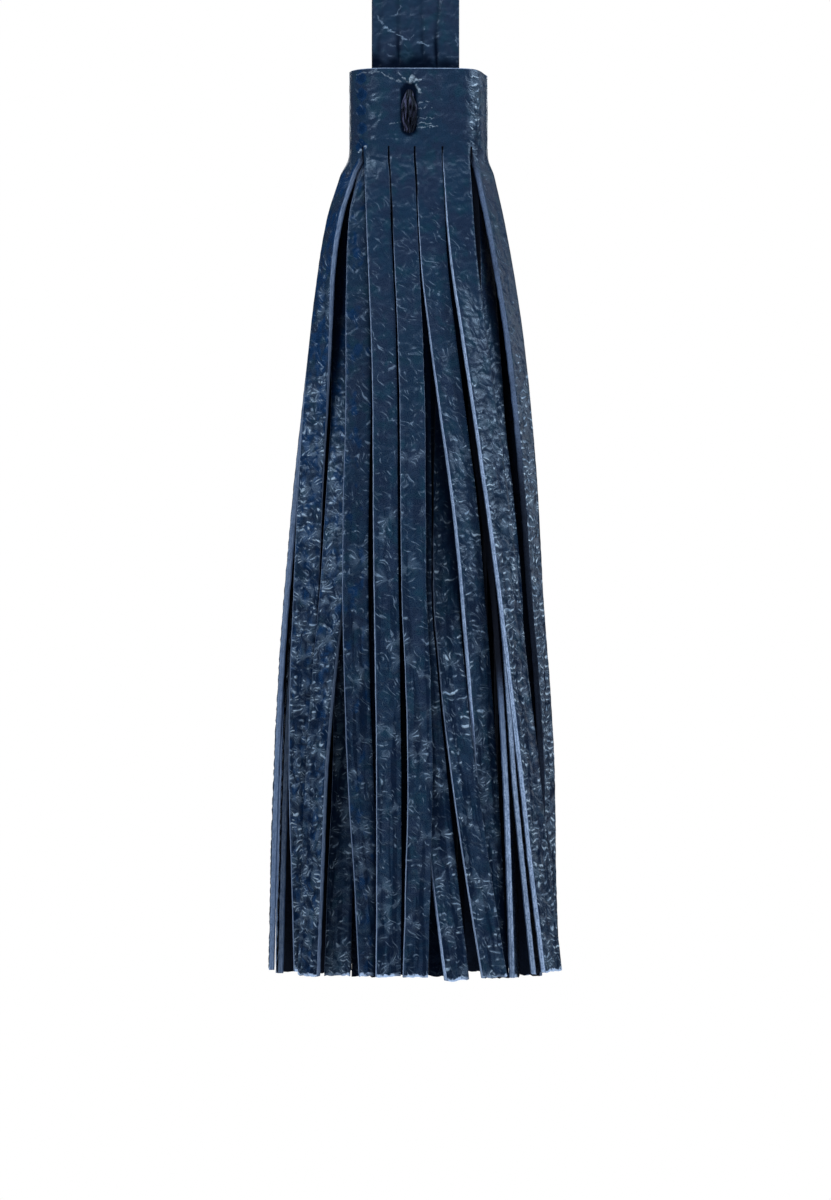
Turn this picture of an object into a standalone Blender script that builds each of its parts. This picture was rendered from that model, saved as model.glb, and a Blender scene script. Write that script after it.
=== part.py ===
"""A leather tassel on a flat strap, hanging from the strap's top edge.

One strip of leather is slit into a comb, rolled about three and a half times round the end of the
strap and stitched through. The uncut band of the comb is the tassel's head, and its strips are the
fringe. The origin is the middle of the strap's top edge, and +Z is up. The front faces -Y.
"""

import math

import bmesh
import bpy
import numpy as np
from mathutils import Vector

MM = 0.001

# Driving sizes, in millimetres.
STRAP_WIDTH = 15.0
STRAP_THICKNESS = 2.0
STRAP_ABOVE_HEAD = 30.0
STRAP_INSIDE_HEAD = 10.0
HEAD_WIDTH = 24.0
HEAD_DEPTH = 12.5
HEAD_HEIGHT = 13.3
HEAD_OFFSET_X = 0.77
FRINGE_LENGTH = 141.2
LEATHER = 1.0
TURN_SPACING = 1.08
FIT_GAP = 0.3
SLIT_GAP = 0.3
HEAD_TOP = -STRAP_ABOVE_HEAD
HEAD_BOTTOM = HEAD_TOP - HEAD_HEIGHT

# The roll. Its outer end lies on the back of the head, this far from the head's middle.
SEAM_X = 2.7
ROLL_TURNS = 3.7
ROLL_STEP = 0.1
ROOT_INSET = 0.08
ROOT_DEPTH_IN_HEAD = 1.5
HEAD_SIDES = 72
POCKET_OVERCUT = 1.0

# Widths of the strips along the leather, from the outer end of the roll. The first nine are cut
# unevenly, the rest are alike.
FIRST_WIDTHS = (4.6, 4.6, 4.6, 4.6, 4.5, 4.4, 4.42, 4.73, 4.85)
COMMON_WIDTH = 4.6
STRIP_COUNT = 36

# Where the strips that show from the front hang. Each row is one strip, by its number from the outer end of
# the roll, and each group is one station down the fringe: x and y of the strip's middle in
# millimetres, and the way it faces in degrees, 0 to the front, 90 to the right and -90 to the left.
STATIONS = (0.12, 0.30, 0.50, 0.75, 1.00)
HUNG_STRIPS = {
    2: ((-13.0, 5.6, -125), (-17.0, 6.4, -122), (-20.3, 6.3, -123), (-22.0, 6.0, -128), (-22.4, 5.8, -130)),
    3: ((-15.3, 0.6, -92), (-18.4, 0.2, -92), (-21.2, -0.4, -90), (-23.6, -0.8, -89), (-24.6, -0.8, -88)),
    4: ((-14.5, -4.4, -60), (-16.8, -5.2, -25), (-18.4, -5.1, -6), (-19.5, -4.0, 4), (-18.5, -4.0, 8)),
    5: ((-5.9, -7.3, 5), (-5.1, -9.0, 6), (-5.0, -10.6, 5), (-4.5, -12.2, 6), (-4.6, -13.2, 4)),
    6: ((-1.7, -7.5, 2), (-0.7, -9.3, -1), (-0.4, -10.9, 0), (0.7, -12.4, 5), (-0.1, -13.4, 6)),
    7: ((2.9, -7.4, 6), (5.8, -8.8, 20), (9.3, -9.3, 34), (12.0, -6.8, 36), (13.8, -8.2, 25)),
    8: ((7.9, -7.2, 14), (11.2, -8.2, 33), (15.0, -8.2, 42), (19.1, -6.8, 48), (23.1, -5.2, 50)),
    9: ((14.2, -4.2, 50), (17.9, -4.0, 55), (20.0, -3.0, 60), (22.4, -1.5, 64), (23.3, 0.0, 66)),
    10: ((13.8, 1.8, 112), (16.2, 2.6, 130), (18.4, 3.0, 138), (19.8, 3.4, 142), (19.8, 3.6, 145)),
    14: ((-10.6, 4.8, -138), (-13.8, 6.6, -140), (-15.8, 8.0, -140), (-15.8, 9.2, -138), (-16.6, 9.6, -136)),
    15: ((-13.9, 1.8, -96), (-17.2, 1.6, -92), (-20.2, 1.4, -88), (-22.4, 1.2, -87), (-23.3, 0.8, -86)),
    16: ((-12.4, -2.8, -56), (-12.3, -4.9, -30), (-13.7, -6.5, -22), (-16.7, -7.5, -40), (-18.1, -8.0, -42)),
    17: ((-9.6, -5.6, -6), (-9.7, -7.2, 2), (-10.2, -8.6, 3), (-9.3, -10.0, 6), (-7.3, -11.3, 8)),
    18: ((-4.2, -5.6, 0), (-4.6, -6.9, 0), (-5.1, -7.6, 0), (-5.8, -8.7, 0), (-4.0, -10.0, 0)),
    19: ((1.8, -5.5, 0), (0.6, -6.6, 0), (0.6, -7.7, 0), (3.2, -10.0, 5), (6.8, -12.3, 28)),
    20: ((6.9, -5.4, 8), (5.6, -6.2, 8), (5.0, -7.2, 10), (8.0, -10.0, 10), (13.3, -11.4, 16)),
    21: ((11.8, -3.6, 58), (13.0, -5.8, 35), (15.9, -6.0, 36), (17.6, -4.8, 60), (20.9, -3.8, 68)),
    27: ((-9.2, -3.4, -40), (-9.8, -4.2, -22), (-10.8, -4.8, -10), (-11.9, -5.3, -5), (-13.3, -6.0, -5)),
    31: ((9.8, -3.0, 62), (10.2, -4.2, 64), (13.2, -4.8, 72), (15.4, -5.0, 76), (16.5, -6.4, 78)),
}

# The strips that were cut longer than the others, to an even hem, and by how many millimetres.
LONGER_STRIPS = {
    2: 1.8, 3: 0.7, 7: 0.6, 8: 0.4, 10: 0.9, 14: 2.2, 15: 0.9, 16: 0.5, 19: 0.8, 20: 0.6, 21: 0.5, 31: 0.7,
}

# The other strips spread to an oval at the hem: its half sizes after each whole turn of the roll.
HEM_TURNS = (0, 1, 2, 3, 4)
HEM_OVALS = ((24.6, 14.2), (22.0, 12.0), (16.5, 8.6), (11.0, 5.4), (6.0, 2.4))
TURN_FAN_DEGREES = (0.0, 14.0, -8.0, 6.0)
FAN_SCATTER_DEGREES = 4.0
TWIST_SCATTER_DEGREES = 18.0
SPREAD_RATE = 2.6
HEM_SCATTER = 0.35
SEED = 7

# Levels down the fringe at which the strips are kept apart and given a section.
LEVELS = (0.0, 0.04, 0.09, 0.15, 0.23, 0.32, 0.42, 0.53, 0.64, 0.76, 0.88, 1.0)
RELAX_ROUNDS = 900
STEADY_SHARE = 0.2
ROOT_ROOM = 0.04
CORNER_ROOM = 0.34
FULL_ROOM_LEVEL = 0.09
MOST_PUSH = 0.3
STIFFNESS = 0.12

NAVY = (0.018, 0.035, 0.080, 1.0)
STRAP_NAVY = (0.016, 0.032, 0.072, 1.0)


def clear_scene():
    for old in list(bpy.data.objects):
        bpy.data.objects.remove(old, do_unlink=True)


def leather_material(name, colour):
    material = bpy.data.materials.new(name)
    material.use_nodes = True
    shader = material.node_tree.nodes["Principled BSDF"]
    shader.inputs["Base Color"].default_value = colour
    shader.inputs["Roughness"].default_value = 0.5
    shader.inputs["Metallic"].default_value = 0.0
    return material


def roll_path(outer_radius):
    """The leather's middle line in the roll, from its outer end inwards.

    Returns columns x, y, facing in degrees and whole turns done, and the length along the leather at
    each point. The roll is a flat spiral round a core: two straight runs joined by half circles.
    """
    half_run = (HEAD_WIDTH - HEAD_DEPTH) / 2
    run = 2 * half_run
    bend = math.pi * (outer_radius - TURN_SPACING * ROLL_TURNS / 2)
    turn = 2 * (run + bend)
    steps = int(ROLL_TURNS * turn / ROLL_STEP)
    rows = []
    for step in range(steps + 1):
        travel = step * ROLL_STEP
        radius = outer_radius + TURN_SPACING * (0.5 - travel / turn)
        place = (travel + half_run - SEAM_X) % turn
        if place < run:
            row = (half_run - place, radius, -180.0)
        elif place < run + bend:
            angle = (place - run) / bend * math.pi
            facing = math.degrees(angle) - 180
            row = (-half_run - radius * math.sin(angle), radius * math.cos(angle), facing)
        elif place < 2 * run + bend:
            row = (place - run - bend - half_run, -radius, 0.0)
        else:
            angle = (place - 2 * run - bend) / bend * math.pi
            facing = math.degrees(angle)
            row = (half_run + radius * math.sin(angle), -radius * math.cos(angle), facing)
        rows.append(row + (travel / turn,))
    path = np.array(rows)
    path[:, 0] += HEAD_OFFSET_X
    lengths = np.concatenate([[0.0], np.cumsum(np.hypot(*np.diff(path[:, :2], axis=0).T))])
    return path, lengths


def strip_widths():
    return np.array(FIRST_WIDTHS + (COMMON_WIDTH,) * (STRIP_COUNT - len(FIRST_WIDTHS)))


def strip_roots():
    """Where each strip leaves the head, as columns x, y, facing in degrees and turn of the roll.

    A strip is flat, so on a bend of the roll it lies at the mean of its own stretch of the leather.
    """
    path, lengths = roll_path(HEAD_DEPTH / 2 - LEATHER / 2 - ROOT_INSET)
    ends = np.cumsum(strip_widths())
    starts = ends - strip_widths()
    stretches = [path[(lengths >= start) & (lengths <= end)] for start, end in zip(starts, ends)]
    places = np.array([stretch.mean(axis=0) for stretch in stretches])
    places[:, 2] = path[np.searchsorted(lengths, (starts + ends) / 2), 2]
    return places


def spread(share):
    """How far a strip has moved from its root to its place at the hem, at a share of its length."""
    return (1 - np.exp(-SPREAD_RATE * share)) / (1 - math.exp(-SPREAD_RATE))


def smooth_through(stations, values, shares):
    """A smooth curve through a value at each station, without overshoot between them."""
    stations, values = np.array(stations), np.array(values, dtype=float)
    slopes = np.diff(values) / np.diff(stations)
    tangents = np.empty_like(values)
    tangents[0], tangents[-1] = slopes[0], slopes[-1]
    for i in range(1, len(values) - 1):
        same_way = slopes[i - 1] * slopes[i] > 0
        tangents[i] = 2 / (1 / slopes[i - 1] + 1 / slopes[i]) if same_way else 0.0
    cell = np.clip(np.searchsorted(stations, shares, side="right") - 1, 0, len(slopes) - 1)
    span = np.diff(stations)[cell]
    t = (shares - stations[cell]) / span
    return (
        (1 + 2 * t) * (1 - t) ** 2 * values[cell]
        + t * (1 - t) ** 2 * span * tangents[cell]
        + t * t * (3 - 2 * t) * values[cell + 1]
        + t * t * (t - 1) * span * tangents[cell + 1]
    )


def hung_strip(root, rows):
    """x, y and facing at each level of a strip whose stations are given."""
    stations = (0.0,) + STATIONS
    columns = zip(root[:3], *rows)
    return [smooth_through(stations, column, np.array(LEVELS)) for column in columns]


def free_strip(root, chance):
    """x, y and facing at each level of a strip that only spreads to the oval of its turn."""
    root_x, root_y, facing, turn = root
    half_x, half_y = (np.interp(turn, HEM_TURNS, halves) for halves in zip(*HEM_OVALS))
    reach = HEAD_WIDTH / 2 - TURN_SPACING * turn
    angle = math.asin(max(-1.0, min(1.0, (root_x - HEAD_OFFSET_X) / reach)))
    if root_y > 0:
        angle = math.copysign(math.pi, angle) - angle
    fan = TURN_FAN_DEGREES[int(turn)] + chance.uniform(-FAN_SCATTER_DEGREES, FAN_SCATTER_DEGREES)
    angle += math.radians(fan)
    hem_x, hem_y = half_x * math.sin(angle), -half_y * math.cos(angle)
    hem_facing = math.degrees(math.atan2(hem_x / half_x**2, -hem_y / half_y**2))
    hem_facing += chance.uniform(-TWIST_SCATTER_DEGREES, TWIST_SCATTER_DEGREES)
    turned = (hem_facing - facing + 180) % 360 - 180
    share = spread(np.array(LEVELS))
    x = root_x + (hem_x - root_x) * share
    y = root_y + (hem_y - root_y) * share
    return x, y, facing + turned * share


def side_of(line, point):
    """Which side of a line through two points another point lies on, as a signed area."""
    (start, end), along = line, line[1] - line[0]
    return along[..., 0] * (point - start)[..., 1] - along[..., 1] * (point - start)[..., 0]


def nearest_points(ends_a, ends_b):
    """The least distance between two straight pieces in the plane, and its direction, for many pairs.

    Where they cross, the distance is nothing and the direction is from one's middle to the other's.
    """
    best = None
    for points, (start, end), swapped in (
        (ends_a[0], ends_b, False),
        (ends_a[1], ends_b, False),
        (ends_b[0], ends_a, True),
        (ends_b[1], ends_a, True),
    ):
        along = end - start
        share = np.clip(((points - start) * along).sum(-1) / (along * along).sum(-1), 0, 1)
        touch = start + along * share[..., None]
        apart = touch - points if swapped else points - touch
        distance = np.sqrt((apart * apart).sum(-1))
        if best is None:
            best = [distance, apart]
        else:
            closer = distance < best[0]
            best[0] = np.where(closer, distance, best[0])
            best[1] = np.where(closer[..., None], apart, best[1])
    cross = (side_of(ends_a, ends_b[0]) * side_of(ends_a, ends_b[1]) < 0) & (
        side_of(ends_b, ends_a[0]) * side_of(ends_b, ends_a[1]) < 0
    )
    between = (ends_a[0] + ends_a[1] - ends_b[0] - ends_b[1]) / 2
    distance = np.where(cross, 0.0, best[0])
    apart = np.where(cross[..., None], between, best[1])
    return distance, apart / np.maximum(np.sqrt((apart * apart).sum(-1)), 1e-6)[..., None]


def keep_apart(x, y, facing, half_widths, steady):
    """Move the strips sideways, level by level, until none touches its neighbours."""
    centres = np.stack([x, y], axis=-1)
    start = centres.copy()
    angle = np.radians(facing)
    across = np.stack([np.cos(angle), np.sin(angle)], axis=-1)
    reach = across * (half_widths - LEATHER / 2)[:, None, None]
    first, second = np.triu_indices(len(x), 1)
    room = LEATHER + np.interp(LEVELS, (0.0, FULL_ROOM_LEVEL), (ROOT_ROOM, CORNER_ROOM))
    mobility = np.where(steady, STEADY_SHARE, 1.0)
    give = (mobility[first] / (mobility[first] + mobility[second]))[:, None, None]
    for _ in range(RELAX_ROUNDS):
        ends = (centres - reach, centres + reach)
        distance, away = nearest_points([e[first] for e in ends], [e[second] for e in ends])
        lack = np.clip(room[None, :] - distance, 0.0, MOST_PUSH)
        push = away * lack[..., None]
        moved, touches = np.zeros_like(centres), np.zeros(centres.shape[:2])
        np.add.at(moved, first, push * give)
        np.add.at(moved, second, -push * (1 - give))
        np.add.at(touches, first, lack > 0)
        np.add.at(touches, second, lack > 0)
        centres += moved / np.maximum(touches, 1.0)[..., None]
        shift = centres - start
        shift[:, 0] = 0.0
        smooth = shift.copy()
        smooth[:, 1:-1] = (shift[:, :-2] + 2 * shift[:, 1:-1] + shift[:, 2:]) / 4
        centres = start + shift + STIFFNESS * (smooth - shift)
    return centres


def hang_strips():
    """Centres (strip, level, xy), facings in degrees and drops below the head for every strip."""
    roots = strip_roots()
    chance = np.random.default_rng(SEED)
    columns = []
    for number, root in enumerate(roots):
        if number in HUNG_STRIPS:
            columns.append(hung_strip(root, HUNG_STRIPS[number]))
        else:
            columns.append(free_strip(root, chance))
    x, y, facing = (np.array([c[k] for c in columns]) for k in range(3))
    half_widths = (strip_widths() - SLIT_GAP) / 2
    steady = np.array([number in HUNG_STRIPS for number in range(STRIP_COUNT)])
    centres = keep_apart(x, y, facing, half_widths, steady)
    lengths = FRINGE_LENGTH + chance.uniform(-HEM_SCATTER, HEM_SCATTER, STRIP_COUNT)
    lengths += [LONGER_STRIPS.get(number, 0.0) for number in range(STRIP_COUNT)]
    steps = np.diff(np.array(LEVELS))[None, :] * lengths[:, None]
    sideways = np.sqrt((np.diff(centres, axis=1) ** 2).sum(-1))
    drops = np.cumsum(np.sqrt(steps**2 - sideways**2), axis=1)
    return centres, facing, np.concatenate([np.zeros((STRIP_COUNT, 1)), drops], axis=1), half_widths


def add_tube(mesh, rings):
    """Add a closed solid to a bmesh through rings of four corners, the first ring uppermost."""
    loops = [[mesh.verts.new(corner) for corner in ring] for ring in rings]
    for upper, lower in zip(loops, loops[1:]):
        for i in range(4):
            j = (i + 1) % 4
            mesh.faces.new((upper[i], lower[i], lower[j], upper[j]))
    mesh.faces.new(loops[0])
    mesh.faces.new(loops[-1][::-1])


def finished_object(name, mesh, material):
    bmesh.ops.recalc_face_normals(mesh, faces=mesh.faces)
    data = bpy.data.meshes.new(name)
    mesh.to_mesh(data)
    mesh.free()
    data.materials.append(material)
    made = bpy.data.objects.new(name, data)
    bpy.context.scene.collection.objects.link(made)
    return made


def strip_rings(centres, facings, drops, half_width):
    """The four corners of a strip's section at each level, with one more ring inside the head."""
    rings = []
    rows = [(centres[0], facings[0], -ROOT_DEPTH_IN_HEAD)] + list(zip(centres, facings, drops))
    for (x, y), facing, drop in rows:
        angle = math.radians(facing)
        across = Vector((math.cos(angle), math.sin(angle), 0)) * half_width
        outward = Vector((math.sin(angle), -math.cos(angle), 0)) * LEATHER / 2
        middle = Vector((x, y, HEAD_BOTTOM - drop))
        sides = (outward - across, outward + across, across - outward, -across - outward)
        rings.append([(middle + side) * MM for side in sides])
    return rings


def head_outline():
    """The outside of the roll: its last whole turn and the step where the leather ends."""
    path, lengths = roll_path(HEAD_DEPTH / 2 - LEATHER / 2)
    turn_end = np.searchsorted(path[:, 3], 1.0)
    picked = []
    for place in np.linspace(0.0, lengths[turn_end], HEAD_SIDES):
        x, y = (np.interp(place, lengths, path[:, column]) for column in (0, 1))
        angle = math.radians(path[np.searchsorted(lengths, place), 2])
        picked.append((x + math.sin(angle) * LEATHER / 2, y - math.cos(angle) * LEATHER / 2))
    return picked


def make_head(material):
    mesh = bmesh.new()
    outline = [mesh.verts.new((x * MM, y * MM, HEAD_BOTTOM * MM)) for x, y in head_outline()]
    base = mesh.faces.new(outline)
    raised = bmesh.ops.extrude_face_region(mesh, geom=[base])["geom"]
    lifted = [item for item in raised if isinstance(item, bmesh.types.BMVert)]
    bmesh.ops.translate(mesh, verts=lifted, vec=(0, 0, HEAD_HEIGHT * MM))
    return finished_object("fringe", mesh, material)


def make_box(name, low, high, material):
    mesh = bmesh.new()
    bmesh.ops.create_cube(mesh, size=1.0)
    for vertex in mesh.verts:
        vertex.co = [(low[k] if vertex.co[k] < 0 else high[k]) * MM for k in range(3)]
    return finished_object(name, mesh, material)


def make_pocket(material):
    """The space in the roll's core that the strap's end fills."""
    half_x, half_y = STRAP_WIDTH / 2 + FIT_GAP, STRAP_THICKNESS / 2 + FIT_GAP
    low = (-half_x, -half_y, HEAD_TOP - STRAP_INSIDE_HEAD - FIT_GAP)
    return make_box("pocket", low, (half_x, half_y, HEAD_TOP + POCKET_OVERCUT), material)


def make_strips(material):
    centres, facings, drops, half_widths = hang_strips()
    mesh = bmesh.new()
    for strip in zip(centres, facings, drops, half_widths):
        add_tube(mesh, strip_rings(*strip))
    return finished_object("strips", mesh, material)


def combine(target, helper, operation):
    change = target.modifiers.new(helper.name, "BOOLEAN")
    change.operation = operation
    change.solver = "EXACT"
    change.object = helper
    change.use_self = operation == "UNION"
    helper.hide_render = True
    helper.display_type = "WIRE"


def make_strap(material):
    half_x, half_y = STRAP_WIDTH / 2, STRAP_THICKNESS / 2
    low = (-half_x, -half_y, HEAD_TOP - STRAP_INSIDE_HEAD)
    return make_box("strap", low, (half_x, half_y, 0.0), material)


def main():
    clear_scene()
    navy = leather_material("navy_leather", NAVY)
    fringe = make_head(navy)
    combine(fringe, make_pocket(navy), "DIFFERENCE")
    combine(fringe, make_strips(navy), "UNION")
    make_strap(leather_material("strap_leather", STRAP_NAVY))


main()
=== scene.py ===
"""The looks of a leather tassel on a flat strap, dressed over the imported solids.

One strip of navy leather is slit into a comb and rolled round the strap's end. Its grid of points is
made here on the same spiral and the same hanging lines as the solids, then crinkled, sewn through
with a bar tack and given its materials. Lengths are in millimetres until a mesh is made. The front
faces -Y, and +Z is up.
"""

import math

import bpy
import numpy as np
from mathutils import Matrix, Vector


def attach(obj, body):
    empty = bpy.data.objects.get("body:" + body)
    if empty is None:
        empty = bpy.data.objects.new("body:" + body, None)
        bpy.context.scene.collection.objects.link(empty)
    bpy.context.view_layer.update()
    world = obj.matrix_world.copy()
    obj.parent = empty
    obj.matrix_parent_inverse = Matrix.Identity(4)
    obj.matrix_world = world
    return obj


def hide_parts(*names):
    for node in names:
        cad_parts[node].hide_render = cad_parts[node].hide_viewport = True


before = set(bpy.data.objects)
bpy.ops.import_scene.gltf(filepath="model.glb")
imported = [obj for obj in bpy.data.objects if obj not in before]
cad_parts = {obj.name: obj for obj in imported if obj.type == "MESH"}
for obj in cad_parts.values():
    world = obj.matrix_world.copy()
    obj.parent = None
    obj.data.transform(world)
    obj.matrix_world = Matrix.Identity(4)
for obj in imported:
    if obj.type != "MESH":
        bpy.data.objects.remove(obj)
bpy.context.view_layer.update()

MM = 0.001

# Driving sizes, in millimetres.
STRAP_WIDTH = 15.0
STRAP_THICKNESS = 2.0
STRAP_ABOVE_HEAD = 30.0
STRAP_INSIDE_HEAD = 10.0
HEAD_WIDTH = 24.0
HEAD_DEPTH = 12.5
HEAD_HEIGHT = 13.3
HEAD_OFFSET_X = 0.77
FRINGE_LENGTH = 141.2
LEATHER = 1.0
TURN_SPACING = 1.08
SLIT_GAP = 0.3
HEAD_TOP = -STRAP_ABOVE_HEAD
HEAD_BOTTOM = HEAD_TOP - HEAD_HEIGHT

# The roll. Its outer end lies on the back of the head, this far from the head's middle.
SEAM_X = 2.7
ROLL_TURNS = 3.7
ROLL_STEP = 0.1
ROOT_INSET = 0.08

# Widths of the strips along the leather, from the outer end of the roll. The first nine are cut
# unevenly, the rest are alike.
FIRST_WIDTHS = (4.6, 4.6, 4.6, 4.6, 4.5, 4.4, 4.42, 4.73, 4.85)
COMMON_WIDTH = 4.6
STRIP_COUNT = 36

# Where the strips that show from the front hang. Each row is one strip, by its number from the outer
# end of the roll, and each group is one station down the fringe: x and y of the strip's middle in
# millimetres, and the way it faces in degrees, 0 to the front, 90 to the right and -90 to the left.
STATIONS = (0.12, 0.30, 0.50, 0.75, 1.00)
HUNG_STRIPS = {
    2: ((-13.0, 5.6, -125), (-17.0, 6.4, -122), (-20.3, 6.3, -123), (-22.0, 6.0, -128), (-22.4, 5.8, -130)),
    3: ((-15.3, 0.6, -92), (-18.4, 0.2, -92), (-21.2, -0.4, -90), (-23.6, -0.8, -89), (-24.6, -0.8, -88)),
    4: ((-14.5, -4.4, -60), (-16.8, -5.2, -25), (-18.4, -5.1, -6), (-19.5, -4.0, 4), (-18.5, -4.0, 8)),
    5: ((-5.9, -7.3, 5), (-5.1, -9.0, 6), (-5.0, -10.6, 5), (-4.5, -12.2, 6), (-4.6, -13.2, 4)),
    6: ((-1.7, -7.5, 2), (-0.7, -9.3, -1), (-0.4, -10.9, 0), (0.7, -12.4, 5), (-0.1, -13.4, 6)),
    7: ((2.9, -7.4, 6), (5.8, -8.8, 20), (9.3, -9.3, 34), (12.0, -6.8, 36), (13.8, -8.2, 25)),
    8: ((7.9, -7.2, 14), (11.2, -8.2, 33), (15.0, -8.2, 42), (19.1, -6.8, 48), (23.1, -5.2, 50)),
    9: ((14.2, -4.2, 50), (17.9, -4.0, 55), (20.0, -3.0, 60), (22.4, -1.5, 64), (23.3, 0.0, 66)),
    10: ((13.8, 1.8, 112), (16.2, 2.6, 130), (18.4, 3.0, 138), (19.8, 3.4, 142), (19.8, 3.6, 145)),
    14: ((-10.6, 4.8, -138), (-13.8, 6.6, -140), (-15.8, 8.0, -140), (-15.8, 9.2, -138), (-16.6, 9.6, -136)),
    15: ((-13.9, 1.8, -96), (-17.2, 1.6, -92), (-20.2, 1.4, -88), (-22.4, 1.2, -87), (-23.3, 0.8, -86)),
    16: ((-12.4, -2.8, -56), (-12.3, -4.9, -30), (-13.7, -6.5, -22), (-16.7, -7.5, -40), (-18.1, -8.0, -42)),
    17: ((-9.6, -5.6, -6), (-9.7, -7.2, 2), (-10.2, -8.6, 3), (-9.3, -10.0, 6), (-7.3, -11.3, 8)),
    18: ((-4.2, -5.6, 0), (-4.6, -6.9, 0), (-5.1, -7.6, 0), (-5.8, -8.7, 0), (-4.0, -10.0, 0)),
    19: ((1.8, -5.5, 0), (0.6, -6.6, 0), (0.6, -7.7, 0), (3.2, -10.0, 5), (6.8, -12.3, 28)),
    20: ((6.9, -5.4, 8), (5.6, -6.2, 8), (5.0, -7.2, 10), (8.0, -10.0, 10), (13.3, -11.4, 16)),
    21: ((11.8, -3.6, 58), (13.0, -5.8, 35), (15.9, -6.0, 36), (17.6, -4.8, 60), (20.9, -3.8, 68)),
    27: ((-9.2, -3.4, -40), (-9.8, -4.2, -22), (-10.8, -4.8, -10), (-11.9, -5.3, -5), (-13.3, -6.0, -5)),
    31: ((9.8, -3.0, 62), (10.2, -4.2, 64), (13.2, -4.8, 72), (15.4, -5.0, 76), (16.5, -6.4, 78)),
}

# The strips that were cut longer than the others, to an even hem, and by how many millimetres.
LONGER_STRIPS = {
    2: 1.8, 3: 0.7, 7: 0.6, 8: 0.4, 10: 0.9, 14: 2.2,
    15: 0.9, 16: 0.5, 19: 0.8, 20: 0.6, 21: 0.5, 31: 0.7,
}

# The other strips spread to an oval at the hem: its half sizes after each whole turn of the roll.
HEM_TURNS = (0, 1, 2, 3, 4)
HEM_OVALS = ((24.6, 14.2), (22.0, 12.0), (16.5, 8.6), (11.0, 5.4), (6.0, 2.4))
TURN_FAN_DEGREES = (0.0, 14.0, -8.0, 6.0)
FAN_SCATTER_DEGREES = 4.0
TWIST_SCATTER_DEGREES = 18.0
SPREAD_RATE = 2.6
HEM_SCATTER = 0.35
SEED = 7

# Levels down the fringe at which the strips are kept apart and given a section.
LEVELS = (0.0, 0.04, 0.09, 0.15, 0.23, 0.32, 0.42, 0.53, 0.64, 0.76, 0.88, 1.0)
RELAX_ROUNDS = 900
STEADY_SHARE = 0.2
ROOT_ROOM = 0.04
CORNER_ROOM = 0.34
FULL_ROOM_LEVEL = 0.09
MOST_PUSH = 0.3
STIFFNESS = 0.12


# From here on, the looks alone. The leather's grid: rows down the band and the strips.
BAND_ROWS = 36
STRIP_ROWS = 296
OUTER_COLUMNS_INSIDE = 9
EDGE_BEVEL = 0.09
TOP_BEVEL_DEPTH = 0.14
TOP_BEVEL_IN = 0.2
VISIBLE_SLIT = 0.22
EDGE_WAVE = 0.04
EDGE_RELIEF = 0.35
JOIN_LENGTH = 5.0

# The strips' slight sway: aside and forward in millimetres, and twist in radians, with how many
# swells each has down a strip and its seed.
SWAY_REACHES = (0.16, 0.14, 0.06)
SWAY_RATES = ((9.0, 61), (7.0, 62), (5.0, 63))

PIECE_ENDS = (0, 12, 24, STRIP_COUNT)
SHARP_ANGLE_DEGREES = 50
LEATHER_MAP = "Leather"
GRAIN, FLESH, RAW = 0, 1, 2

# How strongly the smoother strips are crinkled, how glossy and how blue some are, and how pale
# their cut edges are, from 0 to 1, with the value of all the others. The gloss also sets how many strokes
# are painted as glints, and the edges' pallor paints light and shade on them. The crinkles grow over a
# length below the head, and the gloss over a length that starts some way down, both in millimetres.
SMOOTH_STRIPS = {
    5: 0.5, 6: 0.46, 7: 0.5, 8: 0.55, 9: 0.6, 17: 0.52,
    18: 0.52, 19: 0.5, 20: 0.5, 21: 0.5, 27: 0.6, 31: 0.4,
}
CRINKLED = 0.95
CRINKLED_AT_ROOT = 0.3
CRINKLED_BY = 110.0
SMOOTH_HEAD = 0.03
GLOSSY_STRIPS = {
    3: 0.4, 4: 0.5, 5: 0.1, 6: 0.1, 7: 0.45, 8: 0.75,
    9: 1.0, 16: 0.4, 17: 0.1, 19: 0.4, 20: 0.5, 21: 0.8,
}
GLOSSY = 0.4
GLOSSY_FROM = 15.0
GLOSSY_BY = 48.0
BLUE_STRIPS = {3: 0.5, 4: 0.65, 15: 0.5, 16: 0.6, 17: 0.5}
BLUE = 0.0
EDGE_PALLOR_AND_LIGHT = {
    3: 0.3, 4: 0.4, 5: 0.7, 6: 0.6, 7: 0.9, 8: 1.0, 9: 0.18,
    15: 0.35, 16: 0.35, 19: 0.9, 20: 0.8, 21: 0.9, 31: 0.85,
}
OTHER_EDGE_PALLOR_AND_LIGHT = 0.4

# How far down the front strips their cut edges come out of painted shade and show pale, in millimetres.
EDGE_LIT_FROM = {5: 2.0, 6: 12.0, 7: 7.0, 19: 95.0, 20: 60.0, 21: 70.0, 31: 85.0}

# How far down the leather one edge begins to darken with painted shade, and over what length.
EDGE_SHADED_FROM = {9: 56.0}
EDGE_SHADED_FADE = 18.0

# The rays that find how open a strip is, for its painted shade: half the fan in degrees, how many, how far
# in millimetres, and from where across the strip. Less open than this share gets painted shade, and fully so
# this much lower. Toward the hem there is a little more painted shade everywhere.
OPEN_FAN = 84.0
OPEN_RAYS = 29
OPEN_REACH = 12.0
OPEN_PLACES = (-0.9, -0.45, 0.0, 0.45, 0.9)
SHADE_BELOW = 0.84
SHADE_RANGE = 0.42
HEM_SHADE = 0.2

# The strips that catch more light than the rays find, and their share of the shade.
LESS_SHADED = {27: 0.42}

# The crumpled stretches of the head, where the leather bends: facing in degrees, reach and strength.
# The right one is glossy, with painted glints on its strokes, and the left one has deep blue patches one
# below the other.
HEAD_CRUMPLES = ((-46.0, 11.0, 0.15), (40.0, 18.0, 0.25))
HEAD_GLOSS_FACING = 39.0
HEAD_GLOSS_REACH = 18.0
HEAD_BLUE_FACING = -43.0
HEAD_BLUE_REACH = 14.0
HEAD_BLUE_SPACING = 2.9
CORNER_DIP = 0.8
CORNER_FACING = 78.0
CORNER_REACH = 24.0

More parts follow.
